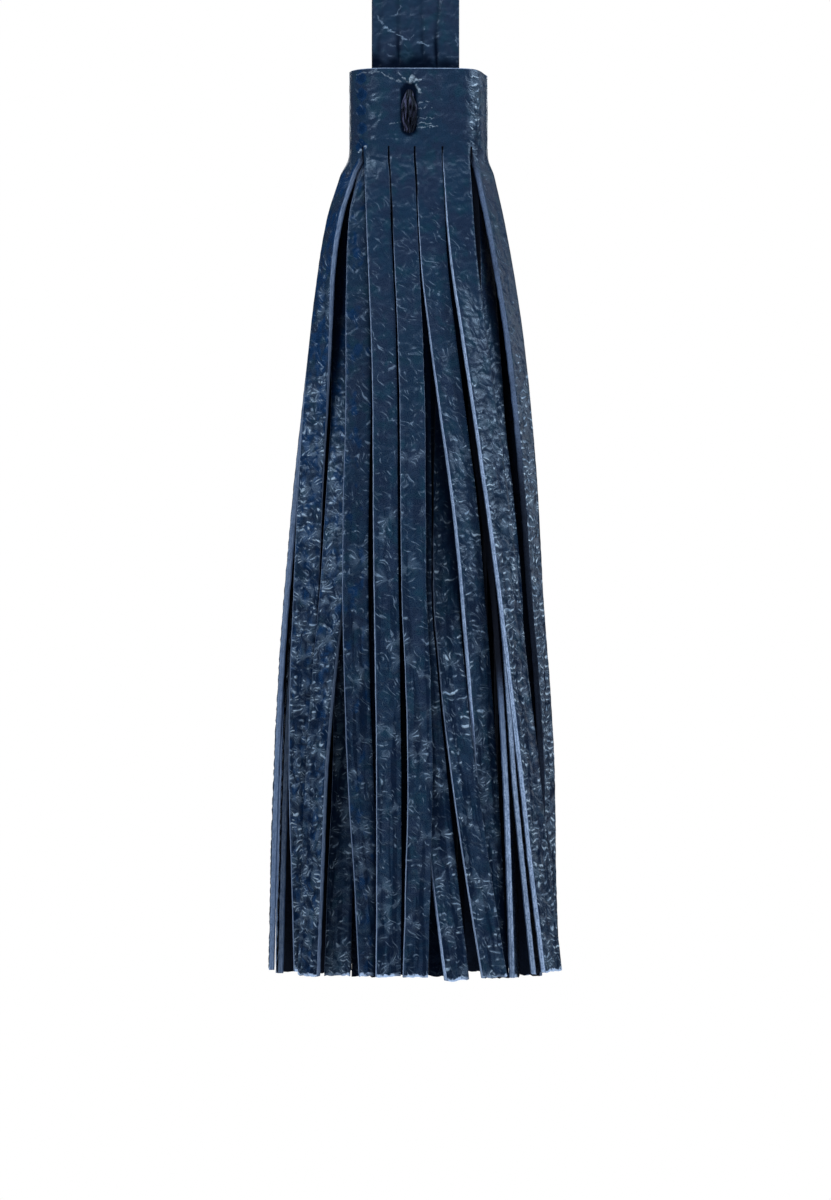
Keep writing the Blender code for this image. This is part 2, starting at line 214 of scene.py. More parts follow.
# The bar tack through the head: x of its middle, z of its ends, the open hole above it, and its
# strands, each of two plies. It stands proud of the leather in its middle and sinks in at its ends.
TACK_X = -1.1
TACK_TOP = -33.0
TACK_BOTTOM = -41.0
TACK_HOLE = 0.6
TACK_STRANDS = 5
TACK_SPACING = 0.55
TACK_STEPS = 60
TACK_PROUD = 0.3
TACK_SUNK = -0.75
PLY_RADIUS = 0.165
PLY_TURN = 5.5
PLY_SIDES = 10

# The depths of the tack's ends below the head's top edge.
TACK_FROM = HEAD_TOP - TACK_TOP
TACK_TO = HEAD_TOP - TACK_BOTTOM

# The pebbles of the crinkled grain, and the folds across them.
PEBBLE_WIDTH = 2.1
PEBBLE_LENGTH = 2.5
FOLD_SPACING = 1.5

# The camera stands this far in front of the tassel, level with the middle of the photograph.
CAMERA_DISTANCE = 0.75
CAMERA_HEIGHT = -0.1205
LENS = 87.5
SENSOR = 24.0

# The strap's grid, and its long creases: x where each passes one depth below the strap's top, slant,
# and how deep it is, which also sets the painted shade along it.
STRAP_COLUMNS = 61
STRAP_ROWS = 161
STRAP_CORNER = 0.22
STRAP_CORNER_STEPS = 3
CREASES_MEASURED_AT = 15.0
STRAP_CREASES = ((-2.7, 0.02, 0.12), (0.9, -0.01, 0.1), (3.9, 0.03, 0.14), (-6.0, 0.05, 0.06))

# Pale scuffs: ends as x and depth below the strap's top or the head's top, width and strength. On the head,
# those next to the bar tack are painted highlights on its pucker and on the wrinkles beside it.
STRAP_SCUFFS = (
    ((-6.5, 20.6), (-5.6, 21.9), 0.28, 0.5),
    ((-5.4, 22.5), (-3.6, 23.3), 0.30, 0.8),
    ((-3.4, 23.5), (-1.6, 24.6), 0.26, 0.7),
    ((-1.0, 24.6), (-0.2, 23.6), 0.20, 0.4),
    ((0.4, 25.0), (2.2, 25.6), 0.30, 0.6),
    ((-3.4, 20.4), (-2.4, 18.9), 0.22, 0.4),
    ((-4.6, 25.4), (-3.6, 25.6), 0.25, 0.3),
    ((6.9, 23.6), (7.2, 25.8), 0.25, 0.4),
)
HEAD_SCUFFS_AND_GLINTS = (
    ((-1.0, 2.5), (-0.5, 1.5), 0.45, 0.9),
    ((-0.6, 2.2), (0.7, 2.0), 0.34, 0.8),
    ((-1.4, 2.3), (-3.0, 0.9), 0.22, 0.5),
    ((0.2, 3.0), (0.8, 4.2), 0.30, 0.6),
    ((-10.3, 0.9), (-6.0, 0.7), 0.22, 0.35),
    ((-6.0, 0.7), (-2.6, 2.4), 0.20, 0.45),
    ((0.4, 5.9), (2.6, 5.7), 0.16, 0.5),
    ((0.4, 6.9), (3.0, 6.7), 0.14, 0.45),
    ((0.3, 8.6), (3.6, 8.5), 0.16, 0.5),
    ((0.3, 9.4), (2.8, 9.5), 0.16, 0.6),
    ((0.6, 10.0), (3.8, 9.9), 0.14, 0.55),
    ((-4.4, 9.4), (-2.5, 9.3), 0.16, 0.35),
    ((-9.7, 14.0), (-8.3, 13.2), 0.32, 0.8),
)

# What each point of the leather carries for the materials: how crinkled, glossy and blue its grain is,
# how far through the leather it lies from the grain side, how pale the cut edge is there with painted
# light and shade on it, and the painted shade where it hangs deep between other strips.
MARKS = ("crinkle", "gloss", "blueness", "through", "pallor_and_light", "shade")
THROUGH = MARKS.index("through")
SHADE = MARKS.index("shade")
CORNER_THROUGH = 0.25

NAVY = (0.0085, 0.0240, 0.0510, 1.0)
PURPLE_NAVY = (0.0115, 0.0220, 0.0480, 1.0)
GREEN_NAVY = (0.0070, 0.0300, 0.0530, 1.0)
DEEP_BLUE = (0.003, 0.023, 0.072, 1.0)
# The navy of painted shade in the grain's rims, hollows and folds.
CREASE_SHADE_NAVY = (0.0025, 0.007, 0.020, 1.0)
# The near-black of painted shade.
PAINTED_SHADE_NAVY = (0.0010, 0.0028, 0.0090, 1.0)
# The pale blue of painted highlights on the grain's strokes, and of the strap's real scuffs.
HIGHLIGHT_AND_SCUFF_BLUE = (0.225, 0.315, 0.430, 1.0)
# The near-white of painted glints, and of the head's painted highlights and scuffs.
BRIGHT_GLINT_AND_SCUFF = (0.42, 0.52, 0.62, 1.0)
GLOSS_TINT = (0.62, 0.80, 1.0, 1.0)
RAW_BLUE = (0.38, 0.48, 0.66, 1.0)
RAW_STAIN = (0.19, 0.26, 0.39, 1.0)
RAW_STEEL = (0.075, 0.115, 0.20, 1.0)
RAW_DARK = (0.022, 0.040, 0.085, 1.0)
# The flesh side's navy, kept near black partly as painted shade of the tassel's inside.
FLESH_DARK = (0.0035, 0.0070, 0.0160, 1.0)
FLESH_LIGHT = (0.0080, 0.0150, 0.0320, 1.0)
THREAD_DARK = (0.0018, 0.0018, 0.0050, 1.0)
# Pale lavender painted highlights along the thread's strands.
THREAD_HIGHLIGHT = (0.050, 0.050, 0.095, 1.0)

# The strips are duller round this depth, just below their roots, and within this reach of it.
ROOT_DULL_DEPTH = 23.0
ROOT_DULL_REACH = 22.0

# The crumpled cells that the strokes fan out from, large and small.
FAN_SIZE = 3.3
SMALL_FAN_SIZE = 2.4

# The glossy strips' short strokes, painted as highlights: the width of their columns, and how far apart they
# are.
RUNG_COLUMN = 4.6
RUNG_SPACING = 1.2

FLOOR_RADIUS = 0.55
FLOOR_HEIGHT = -0.30
FLOOR_LIGHT = (0.84, 0.84, 0.84, 1.0)
FLOOR_DARK = (0.80, 0.80, 0.80, 1.0)
WORLD_LIGHT = 0.09

# The studio's lights: name, place, what it points at, sides in metres, watts and colour.
LIGHTS = (
    ("key", (-0.55, -0.55, 0.45), (0.0, 0.0, -0.11), (0.30, 0.30), 7.0, (0.84, 0.92, 1.0)),
    ("top", (0.10, -0.62, 0.60), (0.0, 0.0, -0.11), (0.6, 0.20), 4.0, (0.84, 0.92, 1.0)),
    ("right", (0.75, -0.25, 0.35), (0.0, 0.0, -0.11), (0.20, 0.5), 5.0, (0.80, 0.90, 1.0)),
    ("back", (0.0, 0.8, 0.2), (0.0, 0.0, -0.10), (0.7, 0.5), 3.0, (0.9, 0.95, 1.0)),
    ("rim", (0.62, 0.26, 0.10), (0.0, 0.0, -0.13), (0.25, 0.5), 0.6, (0.94, 0.97, 1.0)),
)


def smooth_step(x):
    x = np.clip(x, 0.0, 1.0)
    return x * x * (3 - 2 * x)


def rise(x, start, length):
    """0 up to a start, and smoothly up to 1 over a length."""
    return smooth_step((x - start) / length)


def bell(x, width):
    """1 at nothing, and smoothly down to 0 on both sides."""
    return np.exp(-((x / width) ** 2))


def roll_path():
    """The leather's middle line in the roll, from its outer end inwards.

    Returns columns x, y, facing in degrees and whole turns done, and the length along the leather at
    each point. The roll is a flat spiral round a core: two straight runs joined by half circles.
    """
    outer_radius = HEAD_DEPTH / 2 - LEATHER / 2 - ROOT_INSET
    run = HEAD_WIDTH - HEAD_DEPTH
    bend = math.pi * (outer_radius - TURN_SPACING * ROLL_TURNS / 2)
    turn = 2 * (run + bend)
    rows = []
    for step in range(int(ROLL_TURNS * turn / ROLL_STEP) + 1):
        travel = step * ROLL_STEP
        radius = outer_radius + TURN_SPACING * (0.5 - travel / turn)
        place = (travel + run / 2 - SEAM_X) % turn
        on_front = place >= run + bend
        side = 1 if on_front else -1
        along = place - (run + bend) * on_front
        angle = max(0.0, along - run) / bend * math.pi
        x = side * (min(along, run) - run / 2 + radius * math.sin(angle))
        y = -side * radius * math.cos(angle)
        facing = math.degrees(angle) - 180.0 * (not on_front)
        rows.append((x + HEAD_OFFSET_X, y, facing, travel / turn))
    path = np.array(rows)
    lengths = np.concatenate([[0.0], np.cumsum(np.hypot(*np.diff(path[:, :2], axis=0).T))])
    return path, lengths


# The leather's middle line in the roll, and the length along the leather at each of its points.
ROLL_LINE, ROLL_LENGTHS = roll_path()
ROLL_FACING = np.unwrap(ROLL_LINE[:, 2], period=360)

# On the front of the head the length along the leather is this much more than x.
FRONT_START = int(np.argmax(ROLL_LINE[:, 2] == 0.0))
FRONT_U = ROLL_LENGTHS[FRONT_START] - ROLL_LINE[FRONT_START, 0]

# The strips' widths, and the lengths along the leather at which they end.
STRIP_WIDTHS = np.array(FIRST_WIDTHS + (COMMON_WIDTH,) * (STRIP_COUNT - len(FIRST_WIDTHS)))
STRIP_ENDS = np.cumsum(STRIP_WIDTHS)


def strip_roots():
    """Where each strip leaves the head, as columns x, y, facing in degrees and turn of the roll.

    A strip is flat, so on a bend of the roll it lies at the mean of its own stretch of the leather.
    """
    starts = STRIP_ENDS - STRIP_WIDTHS
    stretches = [(ROLL_LENGTHS >= start) & (ROLL_LENGTHS <= end) for start, end in zip(starts, STRIP_ENDS)]
    places = np.array([ROLL_LINE[stretch].mean(axis=0) for stretch in stretches])
    places[:, 2] = ROLL_LINE[np.searchsorted(ROLL_LENGTHS, (starts + STRIP_ENDS) / 2), 2]
    return places


def smooth_through(stations, values, shares):
    """A smooth curve through a value at each station, without overshoot between them."""
    stations, values = np.array(stations), np.array(values, dtype=float)
    slopes = np.diff(values) / np.diff(stations)
    tangents = np.empty_like(values)
    tangents[0], tangents[-1] = slopes[0], slopes[-1]
    for i in range(1, len(values) - 1):
        same_way = slopes[i - 1] * slopes[i] > 0
        tangents[i] = 2 / (1 / slopes[i - 1] + 1 / slopes[i]) if same_way else 0.0
    cell = np.clip(np.searchsorted(stations, shares, side="right") - 1, 0, len(slopes) - 1)
    span = np.diff(stations)[cell]
    t = (shares - stations[cell]) / span
    return (
        (1 + 2 * t) * (1 - t) ** 2 * values[cell]
        + t * (1 - t) ** 2 * span * tangents[cell]
        + t * t * (3 - 2 * t) * values[cell + 1]
        + t * t * (t - 1) * span * tangents[cell + 1]
    )


def turned_from(facing, middle):
    """Degrees between two facings, from -180 to 180."""
    return (facing - middle + 180) % 360 - 180


def free_strip(root, chance):
    """x, y and facing at each level of a strip that only spreads to the oval of its turn."""
    root_x, root_y, facing, turn = root
    half_x, half_y = (np.interp(turn, HEM_TURNS, halves) for halves in zip(*HEM_OVALS))
    reach = HEAD_WIDTH / 2 - TURN_SPACING * turn
    angle = math.asin(max(-1.0, min(1.0, (root_x - HEAD_OFFSET_X) / reach)))
    if root_y > 0:
        angle = math.copysign(math.pi, angle) - angle
    fan = TURN_FAN_DEGREES[int(turn)] + chance.uniform(-FAN_SCATTER_DEGREES, FAN_SCATTER_DEGREES)
    angle += math.radians(fan)
    hem_x, hem_y = half_x * math.sin(angle), -half_y * math.cos(angle)
    hem_facing = math.degrees(math.atan2(hem_x / half_x**2, -hem_y / half_y**2))
    hem_facing += chance.uniform(-TWIST_SCATTER_DEGREES, TWIST_SCATTER_DEGREES)
    moved = (1 - np.exp(-SPREAD_RATE * np.array(LEVELS))) / (1 - math.exp(-SPREAD_RATE))
    way = (hem_x - root_x, hem_y - root_y, turned_from(hem_facing, facing))
    return [start + change * moved for start, change in zip(root, way)]


def side_of(line, point):
    """Which side of a line through two points another point lies on, as a signed area."""
    (start, end), along = line, line[1] - line[0]
    return along[..., 0] * (point - start)[..., 1] - along[..., 1] * (point - start)[..., 0]


def nearest_points(ends_a, ends_b):
    """The least distance between two straight pieces in the plane, and its direction, for many pairs.

    Where they cross, the distance is nothing and the direction is from one's middle to the other's.
    """
    distances, ways = [], []
    for line, other, sign in ((ends_b, ends_a, 1), (ends_a, ends_b, -1)):
        start, along = line[0], line[1] - line[0]
        for points in other:
            share = np.clip(((points - start) * along).sum(-1) / (along * along).sum(-1), 0, 1)
            apart = sign * (points - (start + along * share[..., None]))
            distances.append(np.sqrt((apart * apart).sum(-1)))
            ways.append(apart)
    nearest = np.argmin(distances, axis=0)[None]
    distance = np.take_along_axis(np.array(distances), nearest, 0)[0]
    apart = np.take_along_axis(np.array(ways), nearest[..., None], 0)[0]
    cross = (side_of(ends_a, ends_b[0]) * side_of(ends_a, ends_b[1]) < 0) & (
        side_of(ends_b, ends_a[0]) * side_of(ends_b, ends_a[1]) < 0
    )
    between = (ends_a[0] + ends_a[1] - ends_b[0] - ends_b[1]) / 2
    distance = np.where(cross, 0.0, distance)
    apart = np.where(cross[..., None], between, apart)
    return distance, apart / np.maximum(np.sqrt((apart * apart).sum(-1)), 1e-6)[..., None]


def directions(facings):
    """Across and outward in the plane, for strips that face some degrees from the front."""
    angle = np.radians(facings)
    across = np.stack([np.cos(angle), np.sin(angle)], axis=-1)
    return across, np.stack([np.sin(angle), -np.cos(angle)], axis=-1)


def keep_apart(start, facings, half_widths, steady):
    """Move the strips sideways, level by level, to make room between neighbours.

    It clears their flat sections. The crinkles and sway added later can still touch.
    """
    centres = start.copy()
    reach = directions(facings)[0] * (half_widths - LEATHER / 2)[:, None, None]
    first, second = np.triu_indices(len(start), 1)
    room = LEATHER + np.interp(LEVELS, (0.0, FULL_ROOM_LEVEL), (ROOT_ROOM, CORNER_ROOM))
    mobility = np.where(steady, STEADY_SHARE, 1.0)
    give = (mobility[first] / (mobility[first] + mobility[second]))[:, None, None]
    for _ in range(RELAX_ROUNDS):
        ends = (centres - reach, centres + reach)
        distance, away = nearest_points([e[first] for e in ends], [e[second] for e in ends])
        lack = np.clip(room[None, :] - distance, 0.0, MOST_PUSH)
        push = away * lack[..., None]
        moved, touches = np.zeros_like(centres), np.zeros(centres.shape[:2])
        for numbers, change in ((first, push * give), (second, -push * (1 - give))):
            np.add.at(moved, numbers, change)
            np.add.at(touches, numbers, lack > 0)
        centres += moved / np.maximum(touches, 1.0)[..., None]
        shift = centres - start
        shift[:, 0] = 0.0
        smooth = shift.copy()
        smooth[:, 1:-1] = (shift[:, :-2] + 2 * shift[:, 1:-1] + shift[:, 2:]) / 4
        centres = start + shift + STIFFNESS * (smooth - shift)
    return centres


def hang_strips():
    """Centres (strip, level, xy), facings in degrees, drops below the head and half widths."""
    chance = np.random.default_rng(SEED)
    columns = []
    for number, root in enumerate(strip_roots()):
        if number in HUNG_STRIPS:
            hung = zip(root[:3], *HUNG_STRIPS[number])
            columns.append([smooth_through((0.0,) + STATIONS, column, np.array(LEVELS)) for column in hung])
        else:
            columns.append(free_strip(root, chance))
    columns = np.array(columns)
    facings = columns[:, 2]
    half_widths = (STRIP_WIDTHS - SLIT_GAP) / 2
    steady = np.array([number in HUNG_STRIPS for number in range(STRIP_COUNT)])
    centres = keep_apart(np.stack([columns[:, 0], columns[:, 1]], axis=-1), facings, half_widths, steady)
    lengths = FRINGE_LENGTH + chance.uniform(-HEM_SCATTER, HEM_SCATTER, STRIP_COUNT)
    lengths += [LONGER_STRIPS.get(number, 0.0) for number in range(STRIP_COUNT)]
    steps = np.diff(np.array(LEVELS))[None, :] * lengths[:, None]
    sideways = np.sqrt((np.diff(centres, axis=1) ** 2).sum(-1))
    drops = np.cumsum(np.sqrt(steps**2 - sideways**2), axis=1)
    return centres, facings, np.concatenate([np.zeros((STRIP_COUNT, 1)), drops], axis=1), half_widths


def open_shares(hung, side):
    """How open one side of each strip is, from 0 to 1, at each level and place across, for the painted
    shade.

    The side is 1 for the grain and -1 for the flesh. At a level the strips are straight pieces in the
    plane. From each place, rays fan out on that side, and those that meet another strip within a short
    way count as closed.
    """
    centres, facings, _, half_widths = hung
    across, outward = directions(facings)
    outward = side * outward
    half = across * half_widths[:, None, None]
    fan = np.radians(np.linspace(-OPEN_FAN, OPEN_FAN, OPEN_RAYS))[:, None, None, None]
    rays = across * np.sin(fan) + outward * np.cos(fan)
    weights = np.cos(fan[:, :, :, 0])
    shares = []
    for place in OPEN_PLACES:
        origins = centres + across * (place * half_widths[:, None, None]) + outward * (LEATHER / 2)
        closed = np.zeros(rays.shape[:3], dtype=bool)
        for start, end in zip(centres - half, centres + half):
            along, away = end - start, start - origins
            slant = rays[..., 0] * along[:, 1] - rays[..., 1] * along[:, 0]
            slant = np.where(np.abs(slant) < 1e-9, 1e-9, slant)
            reach = (away[..., 0] * along[:, 1] - away[..., 1] * along[:, 0]) / slant
            met = (away[..., 0] * rays[..., 1] - away[..., 1] * rays[..., 0]) / slant
            closed |= (reach > 0.1) & (reach < OPEN_REACH) & (met > 0) & (met < 1)
        shares.append(1 - (closed * weights).sum(0) / weights.sum())
    return np.stack(shares, axis=-1)


def shade_at(strip, shares, depth, across, half_width):
    """The painted shade of a strip, by how deep it hangs: 0 in the open, 1 where it is closed in."""
    down = np.clip((depth[:, 0] - HEAD_HEIGHT) / FRINGE_LENGTH, 0.0, 1.0)
    columns = np.stack([np.interp(down, LEVELS, column) for column in shares[strip].T], axis=1)
    last = len(OPEN_PLACES) - 1
    cell = np.clip((np.clip(across / half_width, -1.0, 1.0) + 1) / 2 * last, 0, last - 0.001)
    low = cell.astype(int)
    rows = np.arange(len(down))[:, None]
    share = columns[rows, low] * (1 - (cell - low)) + columns[rows, low + 1] * (cell - low)
    closed_in = smooth_step((SHADE_BELOW - share) / SHADE_RANGE) * LESS_SHADED.get(strip, 1.0)
    return np.minimum(closed_in + HEM_SHADE * smooth_step(down * 1.6 - 0.6)[:, None], 1.0)


def lattice(i, j, seed):
    """A repeatable number from 0 to 1 for each pair of whole numbers."""
    mixed = i.astype(np.int64) * 374761393 + j.astype(np.int64) * 668265263 + seed * 974634777
    mixed = mixed & 0xFFFFFFFF
    mixed = ((mixed ^ (mixed >> 13)) * 1274126177) & 0xFFFFFFFF
    return ((mixed ^ (mixed >> 16)) & 0xFFFF) / 65535.0


def noise(x, y, seed):
    """Smooth noise from -1 to 1, one swell to a unit."""
    x, y = np.broadcast_arrays(x, y)
    i, j = np.floor(x), np.floor(y)
    a, b = smooth_step(x - i), smooth_step(y - j)
    near = lattice(i, j, seed) * (1 - a) + lattice(i + 1, j, seed) * a
    far = lattice(i, j + 1, seed) * (1 - a) + lattice(i + 1, j + 1, seed) * a
    return 2 * (near * (1 - b) + far * b) - 1


def cells(x, y, seed):
    """Distances to the nearest and the next cell middle, the way to the nearest, and its number."""
    first, second = np.full(x.shape, 9.0), np.full(x.shape, 9.0)
    way_x, way_y, number = np.zeros(x.shape), np.zeros(x.shape), np.zeros(x.shape)
    for step_i, step_j in np.ndindex(3, 3):
        i, j = np.floor(x) + step_i - 1, np.floor(y) + step_j - 1
        to_x = i + 0.1 + 0.8 * lattice(i, j, seed) - x
        to_y = j + 0.1 + 0.8 * lattice(i, j, seed + 1) - y
        distance = np.hypot(to_x, to_y)
        closer = distance < first
        second = np.where(closer, first, np.minimum(second, distance))
        first = np.where(closer, distance, first)
        way_x, way_y = np.where(closer, to_x, way_x), np.where(closer, to_y, way_y)
        number = np.where(closer, lattice(i, j, seed + 2), number)
    return first, second, way_x, way_y, number


def crinkle_relief(u, v):
    """The crinkled grain from about -1 to 1: pebbles parted by creases, with folds across them."""
    bent_u, bent_v = (axis + 0.7 * noise(u / 2.9, v / 2.9, seed) for axis, seed in ((u, 31), (v, 32)))
    first, second, way_x, way_y, number = cells(bent_u / PEBBLE_WIDTH, bent_v / PEBBLE_LENGTH, 5)
    pebble = smooth_step((second - first) / 0.45)
    turn = (number - 0.5) * math.radians(130)
    across = way_y * np.cos(turn) + way_x * np.sin(turn)
    fold = np.cos(across * PEBBLE_WIDTH * 2 * math.pi / FOLD_SPACING) * bell(first, 0.55)
    return 0.75 * (pebble - 0.6) + 0.45 * fold


def on_bend(u, middle, reach):
    """1 where the roll faces some way, falling away over a reach in degrees."""
    return bell(turned_from(np.interp(u, ROLL_LENGTHS, ROLL_FACING), middle), reach)


def crinkle_strength(strip, u, v):
    """How crinkled the leather is: the head is smooth but for its bends, the strips more so down."""
    growth = CRINKLED_AT_ROOT + (1 - CRINKLED_AT_ROOT) * rise(v, HEAD_HEIGHT, CRINKLED_BY)
    strips = SMOOTH_STRIPS.get(strip, CRINKLED) * growth
    head = SMOOTH_HEAD
    for middle, reach, strength in HEAD_CRUMPLES:
        head = head + strength * on_bend(u, middle, reach)
    return head + (strips - head) * rise(v, HEAD_HEIGHT, 16.0)


def tack_shade(aside, v):
    """Painted shade under the bar tack and in a dark rim round its holes: 1 there."""
    reach = np.hypot(aside / 1.45, (v - np.clip(v, TACK_FROM + 0.9, TACK_TO - 0.9)) / 1.45)
    return smooth_step((1.15 - reach) / 0.25)


def tack_pucker(aside, v):
    """The leather drawn in by the bar tack, with small wrinkles out from its upper hole."""
    reach = np.hypot(aside / 1.5, (v - np.clip(v, TACK_FROM, TACK_TO)) / 1.2)
    around = np.arctan2(aside, TACK_FROM - v)
    radius = np.hypot(aside, v - TACK_FROM)
    rays = 0.09 * np.cos(around * 9 + 0.8) * bell(radius - 1.9, 1.3) * (v < TACK_FROM + 0.6)
    rows = np.sin((v + 0.25 * aside) * 2 * math.pi / 1.35)
    ridges = 0.07 * rows * bell(aside - 2.2, 0.9) * rise(v, 5.0, 1.5) * (1 - rise(v, 10.5, 1.5))
    return -0.38 * bell(reach, 1.0) + rays + ridges


def leather_marks(strip, u, v, strength, shade):
    """The columns of MARKS at each point of a strip's grain side."""
    in_head = 1 - rise(v, HEAD_HEIGHT - 1.0, 6.0)
    patches = 0.85 - 0.35 * np.cos(2 * math.pi * v / HEAD_BLUE_SPACING)
    left_bend = on_bend(u, HEAD_BLUE_FACING, HEAD_BLUE_REACH) * patches
    right_bend = 0.7 * on_bend(u, HEAD_GLOSS_FACING, HEAD_GLOSS_REACH)
    gloss = GLOSSY_STRIPS.get(strip, GLOSSY) * rise(v, HEAD_HEIGHT + GLOSSY_FROM, GLOSSY_BY)
    gloss = gloss + (right_bend - gloss) * in_head
    blueness = BLUE_STRIPS.get(strip, BLUE)
    blueness = blueness + (left_bend - blueness) * in_head
    # The cut edge's pallor carries painted light: paler where lit, duller under painted shade and high in
    # the slits.
    lit_from = EDGE_LIT_FROM.get(strip, 0.0)
    shown = rise(v, HEAD_HEIGHT + lit_from, 6.0 + 0.3 * lit_from)
    pallor_and_light = EDGE_PALLOR_AND_LIGHT.get(strip, OTHER_EDGE_PALLOR_AND_LIGHT * (1 - shade)) * np.maximum(shown, v <= TOP_BEVEL_DEPTH)
    if strip in EDGE_SHADED_FROM:
        pallor_and_light = pallor_and_light * (1 - 0.75 * rise(v, EDGE_SHADED_FROM[strip], EDGE_SHADED_FADE))
    shade = np.maximum(shade, 0.7 * (left_bend - 0.5) * in_head)
    # Painted shade under the bar tack and round it.
    if strip < PIECE_ENDS[1]:
        shade = np.maximum(shade, tack_shade(u - FRONT_U - TACK_X, v))
    return np.stack([strength, gloss, blueness, 0 * u, pallor_and_light, shade], axis=-1)


# Depths below the head's top edge of the grid's rows: the band's, then the strips'.
BAND_DEPTHS = np.linspace(TOP_BEVEL_DEPTH, HEAD_HEIGHT, BAND_ROWS)[:-1]
STRIP_DEPTHS = HEAD_HEIGHT + FRINGE_LENGTH * np.linspace(0.0, 1.0, STRIP_ROWS + 1)
DEPTHS = np.concatenate([[0.0], BAND_DEPTHS, STRIP_DEPTHS])[:, None]


def in_roll(u, out):
    """Points of the leather still in its roll, at a distance out of its middle."""
    facing = np.radians(ROLL_FACING)
    columns = (ROLL_LINE[:, 0], ROLL_LINE[:, 1], np.sin(facing), np.cos(facing))
    x, y, sine, cosine = (np.interp(u, ROLL_LENGTHS, column) for column in columns)
    corner = on_bend(u, CORNER_FACING, CORNER_REACH)
    dip = CORNER_DIP * corner * np.clip(1 - DEPTHS / HEAD_HEIGHT, 0.0, 1.0) ** 2
    return np.stack([x + sine * out, y - cosine * out, HEAD_TOP - DEPTHS - dip], axis=-1)


def strip_lines(strip, hung):
    """x, y, facing in radians and drop down the middle of a strip, with a slight sway."""
    centres, facings, drops, _ = hung
    shares = np.linspace(0.0, 1.0, STRIP_ROWS + 1)
    columns = (centres[strip, :, 0], centres[strip, :, 1], facings[strip], drops[strip])
    x, y, facing, drop = (smooth_through(LEVELS, column, shares) for column in columns)
    angle = np.radians(facing)
    sways = [noise(shares * rate, strip + 0.5, seed) * smooth_step(shares * 6) for rate, seed in SWAY_RATES]
    aside, forward, twist = (reach * sway for reach, sway in zip(SWAY_REACHES, sways))
    x = x + aside * np.cos(angle) + forward * np.sin(angle)
    y = y + aside * np.sin(angle) - forward * np.cos(angle)
    return [column[:, None] for column in (x, y, angle + twist, drop)]


def leather_points(lines, u_middle, across, out):
    """Points of one strip and its band: in the roll above, hanging below, and joined between."""
    rolled = in_roll(u_middle + across, out)
    x, y, angle, drop = lines
    across, out = across[BAND_ROWS:], out[BAND_ROWS:]
    ragged = 0.22 * noise(across * 1.9, u_middle, 71) * rise(drop, FRINGE_LENGTH - 3.0, 3.0)
    x = x + np.cos(angle) * across + np.sin(angle) * out
    y = y + np.sin(angle) * across - np.cos(angle) * out
    hanging = np.stack([x, y, HEAD_BOTTOM - drop + ragged], axis=-1)
    joined = rise(DEPTHS[BAND_ROWS:], HEAD_HEIGHT, JOIN_LENGTH)[..., None]
    lower = rolled[BAND_ROWS:] + (hanging - rolled[BAND_ROWS:]) * joined
    return np.concatenate([rolled[:BAND_ROWS], lower])


def placed(name, data):
    made = bpy.data.objects.new(name, data)
    bpy.context.scene.collection.objects.link(made)
    return made


def smooth_mesh(name, points, faces, materials):
    """A smooth mesh through points in millimetres."""
    mesh = bpy.data.meshes.new(name)
    mesh.from_pydata((points.reshape(-1, 3) * MM).tolist(), [], faces)
    for material in materials:
        mesh.materials.append(material)
    mesh.update()
    mesh.shade_smooth()
    return mesh


def add_marks(mesh, places, marks):
    """Give a mesh of leather its places on the hide and its marks, and keep its edges sharp."""
    corners = np.empty(len(mesh.loops), dtype=np.int32)
    mesh.loops.foreach_get("vertex_index", corners)
    uv = mesh.uv_layers.new(name=LEATHER_MAP)
    uv.data.foreach_set("uv", places.reshape(-1, 2)[corners].ravel())
    for mark, values in marks.items():
        layer = mesh.attributes.new(mark, "FLOAT", "POINT")
        layer.data.foreach_set("value", np.ascontiguousarray(values).ravel())
    mesh.set_sharp_from_angle(angle=math.radians(SHARP_ANGLE_DEGREES))


class Shape:
    """Points with their places on the leather, and faces by material, gathered into one mesh."""

    def __init__(self):
        self.points, self.places, self.marks, self.faces, self.slots = [], [], [], [], []
        self.count = 0

    def add_grid(self, points, places, marks):
        """Add a grid of points and return their numbers in the same layout."""
        rows, columns = points.shape[:2]
        self.points.append(points.reshape(-1, 3))
        self.places.append(places.reshape(-1, 2))
        self.marks.append(marks.reshape(-1, len(MARKS)))
        numbers = np.arange(rows * columns).reshape(rows, columns) + self.count
        self.count += rows * columns
        return numbers

    def add_quads(self, left, right, slot):
        """Faces between two columns that run down, the right one on the right seen from outside."""
        quads = np.stack([left[:-1], left[1:], right[1:], right[:-1]], axis=-1)
        self.faces.extend(quads.tolist())
        self.slots.extend([slot] * len(quads))

    def add_face(self, numbers, slot):
        self.faces.append([int(number) for number in numbers])
        self.slots.append(slot)

    def finished(self, name, materials):
        mesh = smooth_mesh(name, np.concatenate(self.points), self.faces, materials)
        mesh.polygons.foreach_set("material_index", self.slots)
        marks = dict(zip(MARKS, np.concatenate(self.marks).T))
        add_marks(mesh, np.concatenate(self.places), marks)
        return placed(name, mesh)


